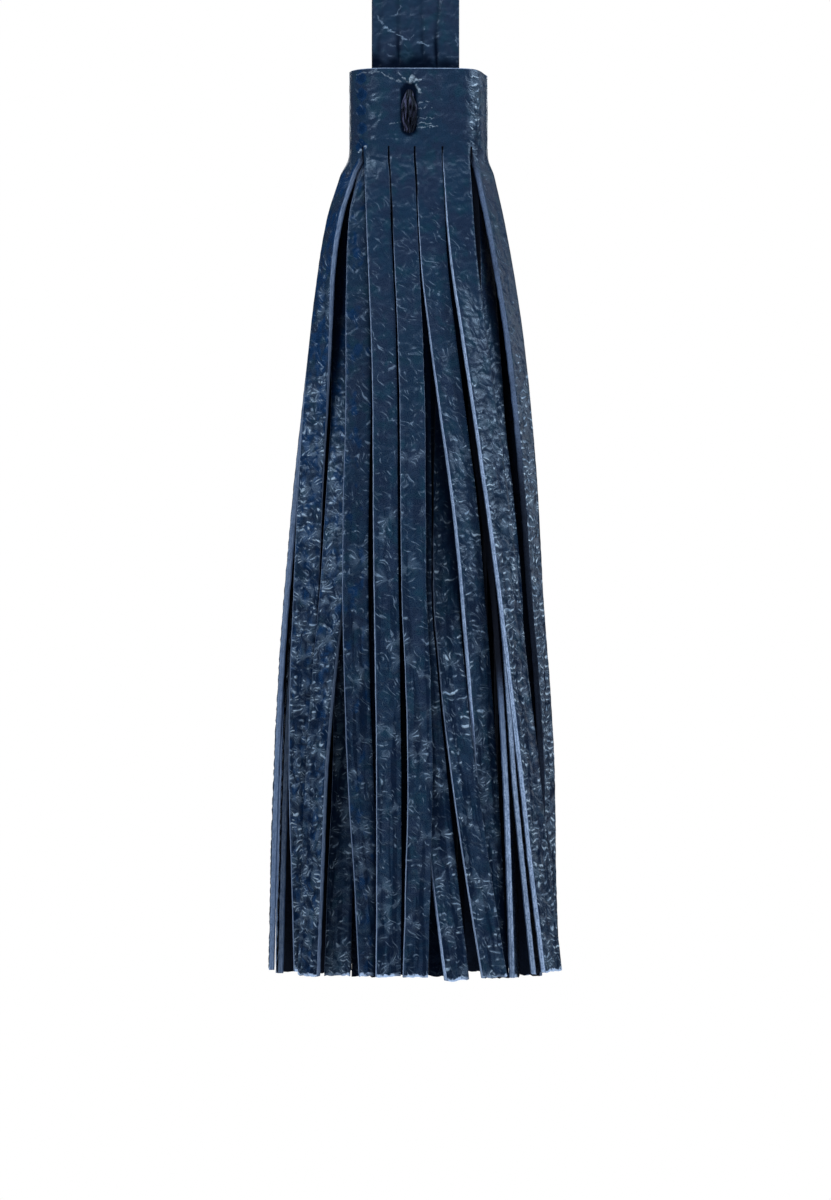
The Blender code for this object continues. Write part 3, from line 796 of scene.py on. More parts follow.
def strip_grids(shape, strip, hung, shares):
    """The grain side, the flesh side and the two raw edges of a strip, as grids of point numbers."""
    lines = strip_lines(strip, hung)
    u_middle = STRIP_ENDS[strip] - STRIP_WIDTHS[strip] / 2
    below = rise(DEPTHS, HEAD_HEIGHT, 12.0)
    wave = EDGE_WAVE * below * noise(DEPTHS / 5.0, strip + 0.5, 65)
    half_width = (STRIP_WIDTHS[strip] - VISIBLE_SLIT) / 2 + wave
    inside = np.linspace(-1.0, 1.0, OUTER_COLUMNS_INSIDE + 2)[None, :]
    across = np.concatenate([-half_width, inside * (half_width - EDGE_BEVEL), half_width], axis=1)
    u = u_middle + across
    v = DEPTHS + 0 * u
    strength = crinkle_strength(strip, u, v)
    calm = EDGE_RELIEF + (1 - EDGE_RELIEF) * smooth_step((half_width - np.abs(across)) / 0.9)
    height = 0.2 * strength * crinkle_relief(u, v) + 0.05 * noise(u / 5.0, v / 7.0, 33)
    if strip < PIECE_ENDS[1]:
        height = height + tack_pucker(u - FRONT_U - TACK_X, v)
    out = LEATHER / 2 + (1 + (calm - 1) * below) * height
    out[:, [0, -1]] -= EDGE_BEVEL * rise(DEPTHS, HEAD_HEIGHT, 1.5)
    out[0] -= TOP_BEVEL_IN
    shade = shade_at(strip, shares[0], DEPTHS, across, half_width)
    marks = leather_marks(strip, u, v, strength, shade)
    marks[:, [0, -1], THROUGH] = CORNER_THROUGH
    marks[0, :, THROUGH] = CORNER_THROUGH
    places = np.stack([u, v], axis=-1)
    outer = shape.add_grid(leather_points(lines, u_middle, across, out), places, marks)
    back = -LEATHER / 2 + 0.05 * noise(u[:, ::2] / 1.3, v[:, ::2] / 1.3, 41)
    back_marks = marks[:, ::2].copy()
    back_marks[..., THROUGH] = 1.0
    back_marks[..., SHADE] = shade_at(strip, shares[1], DEPTHS, across[:, ::2], half_width)
    back_points = leather_points(lines, u_middle, across[:, ::2], back)
    inner = shape.add_grid(back_points, places[:, ::2], back_marks)
    share = np.array([[1 / 3, 2 / 3]])
    edges = []
    for end in (0, -1):
        ends = [end, end]
        fray = 0.05 * noise(DEPTHS / 0.9, np.array([[3.3, 7.7]]) + strip + end, 51) * below
        level = out[:, ends] + (back[:, ends] - out[:, ends]) * share
        points = leather_points(lines, u_middle, across[:, ends] + fray, level)
        edge_marks = marks[:, ends].copy()
        edge_marks[..., THROUGH] = CORNER_THROUGH + (1 - CORNER_THROUGH) * share
        edge = [grid[BAND_ROWS:] for grid in (points, places[:, ends], edge_marks)]
        edges.append(shape.add_grid(*edge))
    return outer, inner, *edges


def add_strip_faces(shape, outer, inner, left, right):
    """The grain side, the flesh side, the raw edges, the top edge and the hem of one strip."""
    for column in range(outer.shape[1] - 1):
        beside, beyond = outer[:, column], outer[:, column + 1]
        bevelled = BAND_ROWS if column == 0 else len(beside) - 1
        for rows, slot in ((slice(2), RAW), (slice(1, bevelled + 1), GRAIN), (slice(bevelled, None), RAW)):
            shape.add_quads(beside[rows], beyond[rows], slot)
    steps = inner.shape[1] - 1
    for column in range(steps):
        shape.add_quads(inner[:, column + 1], inner[:, column], FLESH)
    right_chain = (outer[BAND_ROWS:, -1], right[:, 0], right[:, 1], inner[BAND_ROWS:, -1])
    left_chain = (inner[BAND_ROWS:, 0], left[:, 1], left[:, 0], outer[BAND_ROWS:, 0])
    for chain in (right_chain, left_chain):
        for beside, beyond in zip(chain, chain[1:]):
            shape.add_quads(beside, beyond, RAW)
    for k in range(steps):
        front, behind = outer[:, 2 * k : 2 * k + 3], inner[:, k : k + 2]
        shape.add_face([*front[0], *behind[0, ::-1]], RAW)
        right_end = right[-1, ::-1] if k == steps - 1 else []
        left_end = left[-1] if k == 0 else []
        shape.add_face([*behind[-1], *right_end, *front[-1, ::-1], *left_end], RAW)


def add_slit_faces(shape, before, after):
    """The band between two strips, with its top edge and the blind end of the slit."""
    outer_a, inner_a, _, right = before
    outer_b, inner_b, left, _ = after
    shape.add_quads(outer_a[:2, -1], outer_b[:2, 0], RAW)
    shape.add_quads(outer_a[1 : BAND_ROWS + 1, -1], outer_b[1 : BAND_ROWS + 1, 0], GRAIN)
    shape.add_quads(inner_b[: BAND_ROWS + 1, 0], inner_a[: BAND_ROWS + 1, -1], FLESH)
    shape.add_face([outer_a[0, -1], outer_b[0, 0], inner_b[0, 0], inner_a[0, -1]], RAW)
    near = [outer_a[BAND_ROWS, -1], *right[0], inner_a[BAND_ROWS, -1]]
    far = [inner_b[BAND_ROWS, 0], *left[0, ::-1], outer_b[BAND_ROWS, 0]]
    shape.add_face(near + far, RAW)


def add_band_end(shape, first, between, second):
    """The cut down the band where a piece starts or ends. The raw edge of its strip goes on below."""
    shape.add_quads(first[:BAND_ROWS], second[:BAND_ROWS], RAW)
    last = BAND_ROWS - 1
    shape.add_face([first[last], first[last + 1], *between, second[last + 1], second[last]], RAW)


def make_leather(name, first, last, hung, shares, materials):
    """One stretch of the slit leather, from strip first up to strip last."""
    shape = Shape()
    before = None
    for strip in range(first, last):
        after = strip_grids(shape, strip, hung, shares)
        add_strip_faces(shape, *after)
        if before is None:
            outer, inner, left, _ = after
            add_band_end(shape, inner[:, 0], left[0, ::-1], outer[:, 0])
        else:
            add_slit_faces(shape, before, after)
        before = after
    outer, inner, _, right = before
    add_band_end(shape, outer[:, -1], right[0], inner[:, -1])
    return shape.finished(name, materials)


def ring_faces(count, around):
    """Faces of a closed skin through rings of points, with a cap at each end."""
    numbers = np.arange(count * around).reshape(count, around)
    beside = np.roll(numbers, -1, axis=1)
    quads = np.stack([numbers[:-1], numbers[1:], beside[1:], beside[:-1]], axis=-1).reshape(-1, 4)
    return quads.tolist() + [numbers[0].tolist(), numbers[-1, ::-1].tolist()]


def strap_outline():
    """The strap's section, anticlockwise from above."""
    half_x, half_y = STRAP_WIDTH / 2, STRAP_THICKNESS / 2
    flat_x, flat_y = half_x - STRAP_CORNER, half_y - STRAP_CORNER
    turn = np.radians(np.linspace(0, 90, STRAP_CORNER_STEPS + 2)[1:-1])
    front = [(flat_x * share, -half_y) for share in np.linspace(-1, 1, STRAP_COLUMNS)]
    corner = [(flat_x + STRAP_CORNER * math.sin(a), -flat_y - STRAP_CORNER * math.cos(a)) for a in turn]
    edge = [(half_x, flat_y * share) for share in np.linspace(-1, 1, 5)]
    half = front + corner + edge + [(x, -y) for x, y in corner[::-1]]
    return np.array(half + [(-x, -y) for x, y in half])


def strap_creases(x, z):
    """How far each point of the strap is from each long crease, with the crease's depth."""
    for middle, slant, depth in STRAP_CREASES:
        line = middle + slant * (z + CREASES_MEASURED_AT) + 0.35 * noise(z / 6.0, middle, 83)
        yield x - line, depth


def strap_relief(x, z):
    """Long creases and low swells on the strap's front, in millimetres."""
    relief = 0.05 * noise(x / 2.6, z / 5.0, 81) + 0.03 * noise(x / 0.9, z / 1.7, 82)
    for apart, depth in strap_creases(x, z):
        relief = relief - depth * bell(apart, 0.28)
    return relief


def strap_shade(x, z):
    """The painted shade on each point of the strap's front: in its creases, and close above the head."""
    start = 26.4 + 1.1 * noise(x / 1.7, 0 * z, 84)
    dark = 0.9 * rise(-z, start, 2.6)
    for apart, depth in strap_creases(x, z):
        near = bell(apart, 0.42) * depth / 0.14
        dark = np.maximum(dark, near * (0.4 + 0.6 * rise(-z, 22.0, 4.0)))
    return dark


def make_strap(material):
    outline = strap_outline()
    rings = np.empty((STRAP_ROWS, len(outline), 3))
    rings[..., :2] = outline
    rings[..., 2] = np.linspace(0.0, HEAD_TOP - STRAP_INSIDE_HEAD, STRAP_ROWS)[:, None]
    x, y, z = rings[..., 0], rings[..., 1], rings[..., 2]
    flat = np.clip((STRAP_WIDTH / 2 - np.abs(x)) / 0.8, 0.0, 1.0)
    outward = np.sign(y) * (np.abs(y) > STRAP_THICKNESS / 2 - STRAP_CORNER / 2)
    rings[..., 1] += outward * flat * strap_relief(x + 20.0 * (y > 0), z)
    mesh = smooth_mesh("strap_leather", rings, ring_faces(*rings.shape[:2]), [material])
    around = np.concatenate([[0.0], np.cumsum(np.hypot(*np.diff(outline, axis=0).T))])
    places = np.stack([np.broadcast_to(around, x.shape), -z], axis=-1)
    add_marks(mesh, places, {"shade": strap_shade(x, z) * (outward < 0)})
    return placed("strap_leather", mesh)


def tube_rings(line, radius):
    """Rings of points round a line of points that runs mostly down."""
    along = np.gradient(line, axis=0)
    along /= np.linalg.norm(along, axis=1)[:, None]
    aside = np.cross(along, (0.0, 1.0, 0.0))
    aside /= np.linalg.norm(aside, axis=1)[:, None]
    ahead = np.cross(along, aside)
    turn = np.linspace(0, 2 * math.pi, PLY_SIDES, endpoint=False)[None, :, None]
    return line[:, None] + radius * (np.cos(turn) * aside[:, None] + np.sin(turn) * ahead[:, None])


def tack_strand(number, face_y, outward):
    """The middle line of one strand of the bar tack, over the leather and into it at both ends."""
    share = np.linspace(0.0, 1.0, TACK_STEPS)
    bulge = np.sin(math.pi * share)
    lens = (0.35 + 0.65 * bulge**0.6) * (0.6 + 0.4 * smooth_step(share / 0.5))
    place = number - (TACK_STRANDS - 1) / 2
    x = TACK_X + place * TACK_SPACING * lens
    proud = TACK_SUNK + (TACK_PROUD - TACK_SUNK) * bulge**0.45 - 0.05 * abs(place)
    z = TACK_TOP - TACK_HOLE + (TACK_BOTTOM - TACK_TOP + TACK_HOLE) * share
    return np.stack([x, face_y + outward * proud, z], axis=-1)


def make_tack(name, face_y, outward, material):
    """Strands of two plies twisted together, side by side."""
    points, faces = [], []
    for number in range(TACK_STRANDS):
        line = tack_strand(number, face_y, outward)
        twist = line[:, 2] / PLY_TURN * 2 * math.pi + number
        for ply in (0.0, math.pi):
            wound = line.copy()
            wound[:, 0] += 0.8 * PLY_RADIUS * np.cos(twist + ply)
            wound[:, 1] += 0.8 * PLY_RADIUS * np.sin(twist + ply)
            start = len(points) * TACK_STEPS * PLY_SIDES
            ring = ring_faces(TACK_STEPS, PLY_SIDES)
            faces.extend([[corner + start for corner in face] for face in ring])
            points.append(tube_rings(wound, PLY_RADIUS))
    return placed(name, smooth_mesh(name, np.array(points), faces, [material]))


def roll_face_y(x, facing):
    """How far the outside of the head is from its middle, at x on its front or on its back."""
    columns = ROLL_LINE[(ROLL_LINE[:, 2] == facing) & (ROLL_LINE[:, 3] < 1.0)]
    columns = columns[np.argsort(columns[:, 0])]
    outside = -LEATHER / 2 if facing == 0 else LEATHER / 2
    return np.interp(x, columns[:, 0], columns[:, 1]) + outside


class Nodes:
    """A material's node tree. Each method adds nodes and returns what comes out of the last."""

    def __init__(self, name):
        self.material = bpy.data.materials.new(name)
        self.material.use_nodes = True
        self.tree = self.material.node_tree

    def feed(self, node, inputs):
        """Link or set each of a node's inputs, given by its name or number."""
        for socket, value in inputs.items():
            if isinstance(value, bpy.types.NodeSocket):
                self.tree.links.new(value, node.inputs[socket])
            else:
                node.inputs[socket].default_value = value

    def add(self, kind, inputs, output=0, **settings):
        node = self.tree.nodes.new("ShaderNode" + kind)
        for setting, value in settings.items():
            setattr(node, setting, value)
        self.feed(node, inputs)
        return node.outputs[output]

    def math(self, operation, first, second=0.0, third=0.0):
        return self.add("Math", {0: first, 1: second, 2: third}, operation=operation)

    def times(self, first, *others):
        for other in others:
            first = self.math("MULTIPLY", first, other)
        return first

    def times_plus(self, first, second, third):
        return self.math("MULTIPLY_ADD", first, second, third)

    def most(self, first, *others):
        for other in others:
            first = self.math("MAXIMUM", first, other)
        return first

    def wave(self, value, rate, phase):
        return self.math("COSINE", self.times_plus(value, rate, phase))

    def apart(self, value, middle):
        return self.math("ABSOLUTE", self.math("SUBTRACT", value, middle))

    def vector_math(self, operation, first, second, output=0):
        return self.add("VectorMath", {0: first, 1: second}, output, operation=operation)

    def scaled(self, vector, factor):
        return self.add("VectorMath", {0: vector, "Scale": factor}, operation="SCALE")

    def stretched(self, vector, scale=(1.0, 1.0, 1.0), move=(0.0, 0.0, 0.0)):
        return self.add("Mapping", {"Vector": vector, "Scale": scale, "Location": move})

    def noise(self, vector, scale, detail=2.0, output=0):
        inputs = {"Vector": vector, "Scale": scale, "Detail": detail}
        return self.add("TexNoise", inputs, output, noise_dimensions="2D")

    def drift(self, vector, scale, detail):
        """A wandering offset, with nothing as its middle."""
        wander = self.noise(vector, scale, detail, "Color")
        return self.vector_math("SUBTRACT", wander, (0.5, 0.5, 0.5))

    def moved(self, vector, drift, reach):
        return self.vector_math("ADD", vector, self.scaled(drift, reach))

    def between(self, value, low, high, to_low=0.0, to_high=1.0):
        inputs = {"Value": value, "From Min": low, "From Max": high, "To Min": to_low, "To Max": to_high}
        return self.add("MapRange", inputs, interpolation_type="SMOOTHSTEP")

    def mix(self, share, first, second):
        return self.add("Mix", {0: share, 6: first, 7: second}, 2, data_type="RGBA")

    def near_line(self, place, start, end, width):
        """1 on a straight line between two points, fading to 0 at its width."""
        offset = self.vector_math("SUBTRACT", place, (*start, 0.0))
        run = (end[0] - start[0], end[1] - start[1], 0.0)
        ahead = self.vector_math("DOT_PRODUCT", offset, run, "Value")
        length = math.hypot(*run)
        share = self.add("Math", {0: ahead, 1: length**-2}, operation="MULTIPLY", use_clamp=True)
        apart = self.vector_math("DISTANCE", offset, self.scaled(run, share), "Value")
        return self.between(apart, width, 0.0)

    def mark(self, name):
        return self.add("Attribute", {}, "Fac", attribute_name=name)

    def leather_place(self):
        return self.add("UVMap", {}, uv_map=LEATHER_MAP)

    def object_noise(self, scale, detail, stretch=None):
        place = self.add("TexCoord", {}, "Object")
        if stretch:
            place = self.stretched(place, stretch)
        return self.add("TexNoise", {"Vector": place, "Scale": scale, "Detail": detail})

    def parts(self, vector, count=2):
        """The first numbers of a vector."""
        return list(self.add("SeparateXYZ", {0: vector}).node.outputs)[:count]

    def bump(self, height, distance):
        return self.add("Bump", {"Height": height, "Distance": distance})

    def finish(self, colour, roughness, normal=None, shine=0.5, tint=(1.0, 1.0, 1.0, 1.0)):
        inputs = {"Base Color": colour, "Roughness": roughness}
        inputs.update({"Specular IOR Level": shine, "Specular Tint": tint})
        if normal is not None:
            inputs["Normal"] = normal
        self.feed(self.tree.nodes["Principled BSDF"], inputs)
        return self.material


def crumple_fans(nodes, place, size, spokes, amount):
    """Short strokes that fan out on both sides of crumpled cells, with a soft glow, painted paler as
    highlights: 1 on a stroke.

    The amount is how many of the cells have them.
    """
    inputs = {"Vector": place, "Scale": 1 / size, "Randomness": 0.9}
    cell = nodes.add("TexVoronoi", inputs, voronoi_dimensions="2D").node.outputs
    distance = cell["Distance"]
    away_x, away_y = nodes.parts(nodes.vector_math("SUBTRACT", place, cell["Position"]))
    turn_chance, tilt_chance, cell_chance = nodes.parts(cell["Color"], 3)
    angle = nodes.math("ARCTAN2", away_y, away_x)
    bend = nodes.times_plus(distance, 3.0, nodes.times(nodes.noise(place, 0.35, 0.0), 9.0))
    spoke = nodes.wave(angle, spokes, nodes.times_plus(turn_chance, 40.0, bend))
    to_sides = nodes.wave(angle, 2.0, nodes.times_plus(tilt_chance, 2.4, -1.2))
    fringe = nodes.times_plus(nodes.noise(place, 1.1, 1.0), 0.5, distance)
    breaks = nodes.noise(nodes.stretched(place, move=(11.0, 5.0, 0.0)), 0.9, 1.0)
    stroke = nodes.times(
        nodes.between(spoke, 0.15, 1.0),
        nodes.between(to_sides, -0.1, 0.8),
        nodes.between(distance, 0.10, 0.30),
        nodes.between(fringe, 0.95, 0.62),
        nodes.between(breaks, 0.36, 0.62, 0.2, 1.0),
    )
    glow = nodes.times(nodes.between(fringe, 0.95, 0.35, 0.0, 0.24), nodes.between(to_sides, -0.9, 0.9))
    chosen = nodes.between(nodes.math("ADD", amount, cell_chance), 1.0, 1.2)
    return nodes.times(nodes.most(stroke, glow), chosen)


def rungs(nodes, place, amount):
    """Short curved strokes one below the other, in narrow columns, painted paler as highlights: 1 on a
    stroke.
    """
    across, down = nodes.parts(place)
    sway = nodes.noise(nodes.stretched(place, (0.4, 0.11, 1.0)), 1.0, 1.0)
    column = nodes.times_plus(sway, 1.8, nodes.times(across, 1 / RUNG_COLUMN))
    aside = nodes.math("PINGPONG", column, 0.5)
    drift = nodes.times(nodes.noise(place, 0.35, 1.0), 8.0)
    bend = nodes.times_plus(nodes.times(aside, aside), 22.0, drift)
    patches = nodes.noise(nodes.stretched(place, move=(31.0, 17.0, 0.0)), 0.5, 2.0)
    breaks = nodes.noise(nodes.stretched(place, (0.6, 1.0, 1.0), (3.0, 57.0, 0.0)), 1.1, 1.0)
    return nodes.times(
        nodes.between(nodes.wave(down, 2 * math.pi / RUNG_SPACING, bend), 0.25, 1.0, 0.12, 1.0),
        nodes.between(aside, 0.01, 0.07),
        nodes.between(aside, 0.38, 0.20),
        nodes.between(nodes.times_plus(amount, 0.36, patches), 0.60, 0.84),
        nodes.between(breaks, 0.30, 0.52, 0.15, 1.0),
    )


def crumpled(nodes, place, crinkle, gloss):
    """The crumpled grain, as its strokes, its slanted lines, its rims and its swells. Strokes and lines are
    painted paler as highlights, and rims darker as painted shade.
    """
    drift = nodes.drift(place, 0.3, 1.0)
    warped = nodes.moved(place, drift, 1.6)
    tall = nodes.stretched(warped, (1.0, 0.8, 1.0))
    large = crumple_fans(nodes, tall, FAN_SIZE, 15.0, crinkle)
    aside = nodes.stretched(warped, move=(40.0, 90.0, 0.0))
    small = crumple_fans(nodes, aside, SMALL_FAN_SIZE, 11.0, nodes.math("SUBTRACT", crinkle, 0.35))
    strokes = nodes.most(large, nodes.times(small, 0.7), rungs(nodes, warped, gloss))
    strokes = nodes.times(strokes, nodes.between(nodes.most(crinkle, gloss), 0.05, 0.6, 0.3, 1.0))
    bent = nodes.moved(place, drift, 3.2)
    slanted = nodes.add("Mapping", {"Vector": bent, "Rotation": (0.0, 0.0, 0.7)})
    slants = nodes.noise(nodes.stretched(slanted, (2.6, 0.5, 1.0)), 1.0, 2.0)
    lines = nodes.times(
        nodes.between(slants, 0.58, 0.78),
        nodes.between(nodes.noise(place, 0.5, 1.0), 0.42, 0.62),
        nodes.between(crinkle, 0.02, 0.25),
    )
    inputs = {"Vector": tall, "Scale": 1 / FAN_SIZE, "Randomness": 0.9}
    settings = {"voronoi_dimensions": "2D", "feature": "DISTANCE_TO_EDGE"}
    to_rim = nodes.add("TexVoronoi", inputs, "Distance", **settings)
    rims = nodes.times(nodes.between(to_rim, 0.4 / FAN_SIZE, 0.0), crinkle)
    return strokes, lines, rims, nodes.noise(warped, 0.6, 1.0)


def grain_ground(nodes, place):
    """Mottled navy with greenish clouds."""
    mottle = nodes.between(nodes.noise(place, 0.22, 4.0), 0.35, 0.65)
    clouds = nodes.noise(nodes.stretched(place, move=(90.0, 0.0, 0.0)), 0.35, 3.0)
    ground = nodes.mix(mottle, NAVY, PURPLE_NAVY)
    return nodes.mix(nodes.between(clouds, 0.5, 0.7, 0.0, 0.7), ground, GREEN_NAVY)


def grain_normal(nodes, strokes, lines, rims, swell, pores):
    height = nodes.times_plus(lines, 0.3, strokes)
    for relief, share in ((swell, 1.6), (rims, -0.4), (pores, 0.12)):
        height = nodes.times_plus(relief, share, height)
    return nodes.bump(height, 0.16 * MM)


def scuffs_on(nodes, place, scuffs, shift, pores):
    """1 on the pale scuffs, and on the head also on the painted highlights by the bar tack, which waver and
    break up. Their x is moved by a shift to the leather's.
    """
    wavering = nodes.moved(place, nodes.drift(place, 1.3, 2.0), 0.9)
    found = []
    for (x, depth), (end_x, end_depth), width, strength in scuffs:
        near = nodes.near_line(wavering, (x + shift, depth), (end_x + shift, end_depth), width)
        found.append(nodes.times(near, strength))
    return nodes.times(nodes.most(*found), nodes.between(pores, 0.35, 0.6, 0.45, 1.0))


def fringe_grain(name):
    """The finished side: mottled navy, crumpled in short strokes painted a paler blue as highlights, with
    painted glints, and painted shade in its hollows and where it hangs deep.
    """
    nodes = Nodes(name)
    place = nodes.leather_place()
    crinkle, gloss, shade = nodes.mark("crinkle"), nodes.mark("gloss"), nodes.mark("shade")
    strokes, lines, rims, swell = crumpled(nodes, place, crinkle, gloss)
    pores = nodes.noise(place, 5.0, 3.0)
    down = nodes.parts(place)[1]

    patches = nodes.noise(nodes.stretched(place, (1.3, 0.8, 1), (0, 70.0, 0)), 0.4, 2.0)
    deep = nodes.between(nodes.math("ADD", patches, nodes.mark("blueness")), 1.05, 1.22)
    colour = nodes.mix(deep, grain_ground(nodes, place), DEEP_BLUE)
    # Painted shade in the rims, hollows and folds of the crumpled grain.
    hollow = nodes.times(nodes.between(swell, 0.52, 0.34), nodes.most(crinkle, gloss))
    folds = nodes.noise(nodes.stretched(place, (0.75, 0.05, 1.0), (6.0, 0.0, 0.0)), 1.0, 2.0)
    folds = nodes.times(nodes.between(folds, 0.53, 0.40), nodes.between(down, 30.0, 120.0, 0.1, 0.8))
    dark = nodes.most(nodes.times(nodes.most(rims, hollow), 0.85), folds)
    colour = nodes.mix(dark, colour, CREASE_SHADE_NAVY)

    # Painted highlights: the strokes and slanted lines of the crinkles are laid in paler blue.
    shown = nodes.most(strokes, nodes.times(lines, 0.55))
    pale = nodes.times(shown, nodes.between(pores, 0.3, 0.6, 0.6, 1.0))
    colour = nodes.mix(pale, colour, HIGHLIGHT_AND_SCUFF_BLUE)
    # Painted glints on the strokes of the glossy strips, then the head's painted highlights and scuffs.
    glint = nodes.times(nodes.between(strokes, 0.25, 0.7), gloss, nodes.between(swell, 0.46, 0.56))
    colour = nodes.mix(glint, colour, BRIGHT_GLINT_AND_SCUFF)
    colour = nodes.mix(scuffs_on(nodes, place, HEAD_SCUFFS_AND_GLINTS, FRONT_U, pores), colour, BRIGHT_GLINT_AND_SCUFF)
    # Painted shade where the strip hangs deep between others, round the bar tack and toward the hem.
    colour = nodes.mix(nodes.times(shade, 0.95), colour, PAINTED_SHADE_NAVY)

    # A pale worn rim at the hem, dimmed under the painted shade.
    hem_depth = HEAD_HEIGHT + FRINGE_LENGTH
    ragged = nodes.math("ADD", nodes.noise(place, 1.6, 3.0), down)
    worn_and_lit = nodes.times(
        nodes.between(nodes.noise(place, 0.3, 2.0), 0.40, 0.56, 0.25, 1.0),
        nodes.between(shade, 1.0, 0.3),
    )
    hem = nodes.times(nodes.between(ragged, hem_depth - 0.05, hem_depth + 0.3), worn_and_lit)
    colour = nodes.mix(hem, colour, RAW_BLUE)

    dulled = nodes.times_plus(hollow, 0.6, nodes.times_plus(folds, 0.6, shade))
    shine = nodes.times(
        nodes.between(dulled, 0.0, 1.0, 0.4, 0.02),
        nodes.between(nodes.apart(down, ROOT_DULL_DEPTH), 0.0, ROOT_DULL_REACH, 0.35, 1.0),
        nodes.between(gloss, 0.5, 1.0, 1.0, 1.5),
    )
    normal = grain_normal(nodes, strokes, lines, rims, swell, pores)
    roughness = nodes.between(pores, 0.3, 0.7, 0.24, 0.36)
    return nodes.finish(colour, roughness, normal, shine, GLOSS_TINT)


def strap_grain(name):
    """The strap's finished side: the same navy, smoother, with painted shade in its long creases and above
    the head, painted highlights on its strokes, and pale scuffs.
    """
    nodes = Nodes(name)
    place = nodes.leather_place()
    crinkle = nodes.between(nodes.noise(place, 0.15), 0.4, 0.7, 0.0, 0.3)
    strokes, lines, rims, swell = crumpled(nodes, place, crinkle, 0.0)
    pores = nodes.noise(place, 5.0, 3.0)
    shade = nodes.mark("shade")
    # Painted shade in the creases and above the head.
    colour = nodes.mix(shade, grain_ground(nodes, place), PAINTED_SHADE_NAVY)
    # Painted highlights on the strap's strokes, kept out of its painted shade, with its real pale scuffs.
    shown = nodes.times(nodes.most(strokes, lines), nodes.between(shade, 0.0, 1.0, 0.3, 0.0))
    scuffed = scuffs_on(nodes, place, STRAP_SCUFFS, STRAP_WIDTH / 2 - STRAP_CORNER, pores)
    colour = nodes.mix(nodes.most(shown, scuffed), colour, HIGHLIGHT_AND_SCUFF_BLUE)
    normal = grain_normal(nodes, strokes, lines, rims, swell, pores)
    roughness = nodes.between(pores, 0.3, 0.7, 0.28, 0.40)
    shine = nodes.between(shade, 0.0, 1.0, 0.35, 0.02)
    return nodes.finish(colour, roughness, normal, shine, GLOSS_TINT)


def raw_material(name):
    """The cut edge: pale fibres along the cut, navy where the finish ends, and a darker middle. Its pallor
    mark paints light and shade on it, down to near black where it is shaded.
    """
    nodes = Nodes(name)
    place = nodes.leather_place()
    through = nodes.mark("through")
    along = nodes.math("ADD", *nodes.parts(place))
    cut = nodes.add("CombineXYZ", {0: through, 1: along})
    fibres = nodes.noise(nodes.stretched(cut, (5.0, 0.9, 1.0)), 1.0, 3.0)
    specks = nodes.noise(nodes.stretched(cut, (4.0, 3.0, 1.0), (9.0, 4.0, 0.0)), 1.0, 2.0)
    clouds = nodes.noise(place, 0.3, 2.0)
    light = nodes.mix(nodes.between(fibres, 0.32, 0.62), RAW_STAIN, RAW_BLUE)
    dull = nodes.mix(nodes.between(specks, 0.42, 0.60), RAW_DARK, RAW_STEEL)
    # Lit edges are painted pale; edges in painted shade are dull, down to near black.
    pallor_and_light = nodes.times(nodes.mark("pallor_and_light"), nodes.between(clouds, 0.25, 0.55, 0.75, 1.0))
    colour = nodes.mix(pallor_and_light, dull, light)
    for share, laid_over in (
        (nodes.between(specks, 0.53, 0.66, 0.0, 0.7), RAW_STEEL),
        (nodes.between(nodes.apart(through, 0.58), 0.10, 0.01, 0.0, 0.5), RAW_STEEL),
        (nodes.between(through, 0.16, 0.02, 0.0, 0.8), RAW_DARK),
        (nodes.between(through, 0.76, 0.90, 0.0, 0.9), RAW_DARK),
        (nodes.between(pallor_and_light, 0.2, 0.0), PAINTED_SHADE_NAVY),
    ):
        colour = nodes.mix(share, colour, laid_over)
    return nodes.finish(colour, 0.85, nodes.bump(fibres, 0.06 * MM), 0.2)


def flesh_material(name):
    """The inner side: matt napped navy, kept near black partly as painted shade of the tassel's inside, with
    the painted shade of the deep strips on it.
    """
    nodes = Nodes(name)
    place = nodes.leather_place()
    nap = nodes.noise(place, 3.5, 5.0)
    clouds = nodes.noise(place, 0.35, 3.0)
    colour = nodes.mix(nodes.between(clouds, 0.35, 0.7), FLESH_DARK, FLESH_LIGHT)
    colour = nodes.mix(nodes.between(nap, 0.55, 0.8, 0.0, 0.3), colour, RAW_DARK)
    colour = nodes.mix(nodes.mark("shade"), colour, PAINTED_SHADE_NAVY)
    return nodes.finish(colour, 0.9, nodes.bump(nap, 0.12 * MM), 0.1)


def thread_material(name):
    """Waxed thread, nearly black, with a slight purple cast, fine fibres and pale streaks along its strands
    painted as highlights.
    """
    nodes = Nodes(name)
    fibres = nodes.object_noise(6000.0, 3.0)
    strands = nodes.object_noise(2600.0, 1.0, (1.0, 1.0, 0.12))
    colour = nodes.mix(nodes.between(strands, 0.52, 0.66), THREAD_DARK, THREAD_HIGHLIGHT)
    return nodes.finish(colour, 0.45, nodes.bump(fibres, 0.04 * MM), 0.2, GLOSS_TINT)


def floor_material(name):
    nodes = Nodes(name)
    clouds = nodes.object_noise(3.0, 3.0)
    colour = nodes.mix(nodes.between(clouds, 0.3, 0.7), FLOOR_LIGHT, FLOOR_DARK)
    return nodes.finish(colour, 0.8)


def make_floor():
    turn = np.linspace(0, 2 * math.pi, 96, endpoint=False)
    rim = [(FLOOR_RADIUS * math.cos(a), FLOOR_RADIUS * math.sin(a), FLOOR_HEIGHT) for a in turn]
    mesh = bpy.data.meshes.new("floor")
    mesh.from_pydata(rim, [], [list(range(len(rim)))])
    mesh.materials.append(floor_material("pale_floor"))
    placed("floor", mesh)


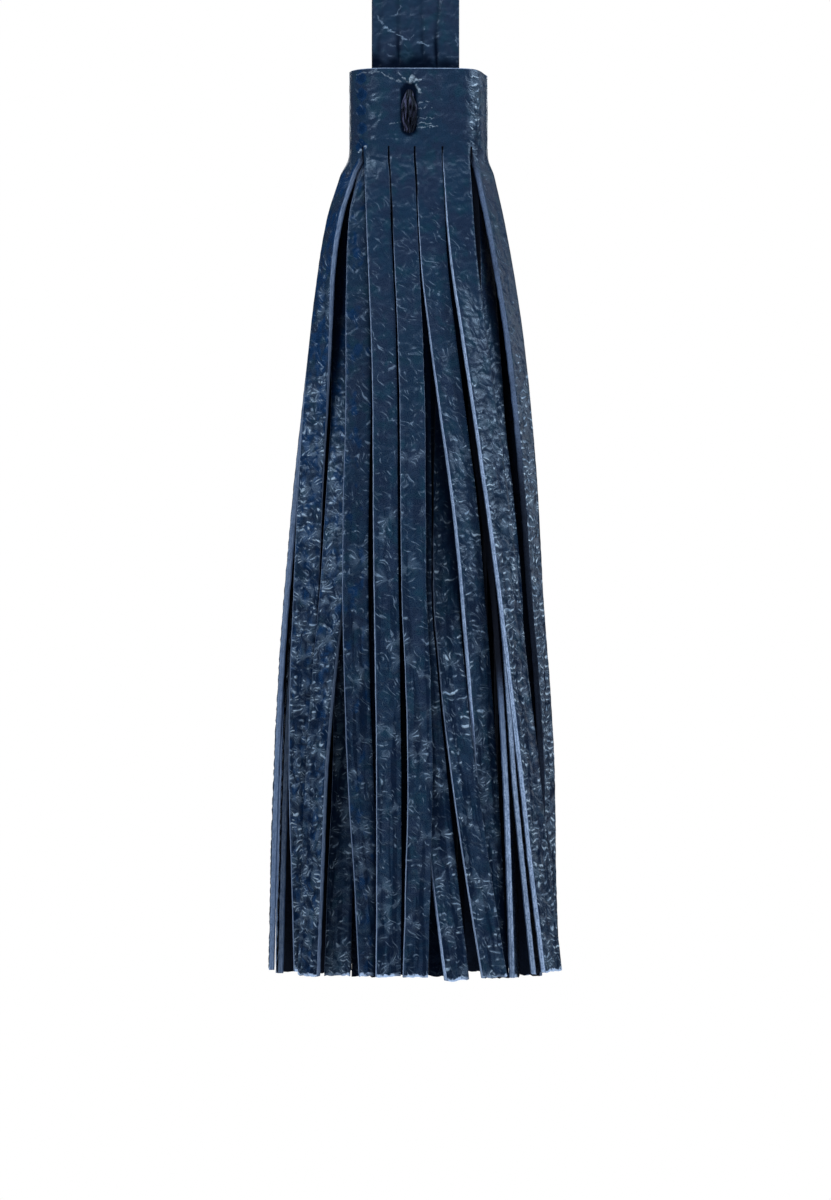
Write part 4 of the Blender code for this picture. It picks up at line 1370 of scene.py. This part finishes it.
def add_light(name, place, target, size, watts, colour):
    light = bpy.data.lights.new(name, "AREA")
    light.shape = "RECTANGLE"
    light.size, light.size_y = size
    light.energy = watts
    light.color = colour
    lamp = placed(name, light)
    lamp.location = place
    lamp.rotation_euler = (Vector(target) - Vector(place)).to_track_quat("-Z", "Y").to_euler()


def make_world():
    """White to the eye, and a dimmer even light on the tassel."""
    world = bpy.data.worlds.new("studio")
    world.use_nodes = True
    bpy.context.scene.world = world
    tree = world.node_tree
    seen = tree.nodes.new("ShaderNodeLightPath")
    white = tree.nodes.new("ShaderNodeBackground")
    mixed = tree.nodes.new("ShaderNodeMixShader")
    dim = tree.nodes["Background"]
    dim.inputs["Color"].default_value = (0.80, 0.88, 1.0, 1.0)
    dim.inputs["Strength"].default_value = WORLD_LIGHT
    white.inputs["Color"].default_value = (1.0, 1.0, 1.0, 1.0)
    tree.links.new(seen.outputs["Is Camera Ray"], mixed.inputs[0])
    tree.links.new(dim.outputs[0], mixed.inputs[1])
    tree.links.new(white.outputs[0], mixed.inputs[2])
    tree.links.new(mixed.outputs[0], tree.nodes["World Output"].inputs["Surface"])


def make_camera():
    data = bpy.data.cameras.new("camera")
    data.sensor_fit = "VERTICAL"
    data.sensor_height = SENSOR
    data.lens = LENS
    camera = placed("camera", data)
    camera.location = (0.0, -CAMERA_DISTANCE, CAMERA_HEIGHT)
    camera.rotation_euler = (math.radians(90), 0.0, 0.0)
    bpy.context.scene.camera = camera


def main():
    make_camera()
    make_world()
    make_floor()
    for light in LIGHTS:
        add_light(*light)
    bpy.context.scene.view_settings.view_transform = "Standard"

    raw = raw_material("cut_edge")
    leather = [fringe_grain("grain_side"), flesh_material("flesh_side"), raw]
    hung = hang_strips()
    shares = [open_shares(hung, side) for side in (1, -1)]
    for number, (first, last) in enumerate(zip(PIECE_ENDS, PIECE_ENDS[1:]), start=1):
        piece = make_leather(f"fringe_turn_{number}", first, last, hung, shares, leather)
        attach(piece, "root")
        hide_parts("fringe")

    strap = make_strap(strap_grain("strap_grain"))
    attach(strap, "root")
    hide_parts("strap")

    thread = thread_material("thread")
    for name, facing, outward in (("bar_tack_front", 0.0, -1), ("bar_tack_back", -180.0, 1)):
        tack = make_tack(name, roll_face_y(TACK_X, facing), outward, thread)
        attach(tack, "root")


main()
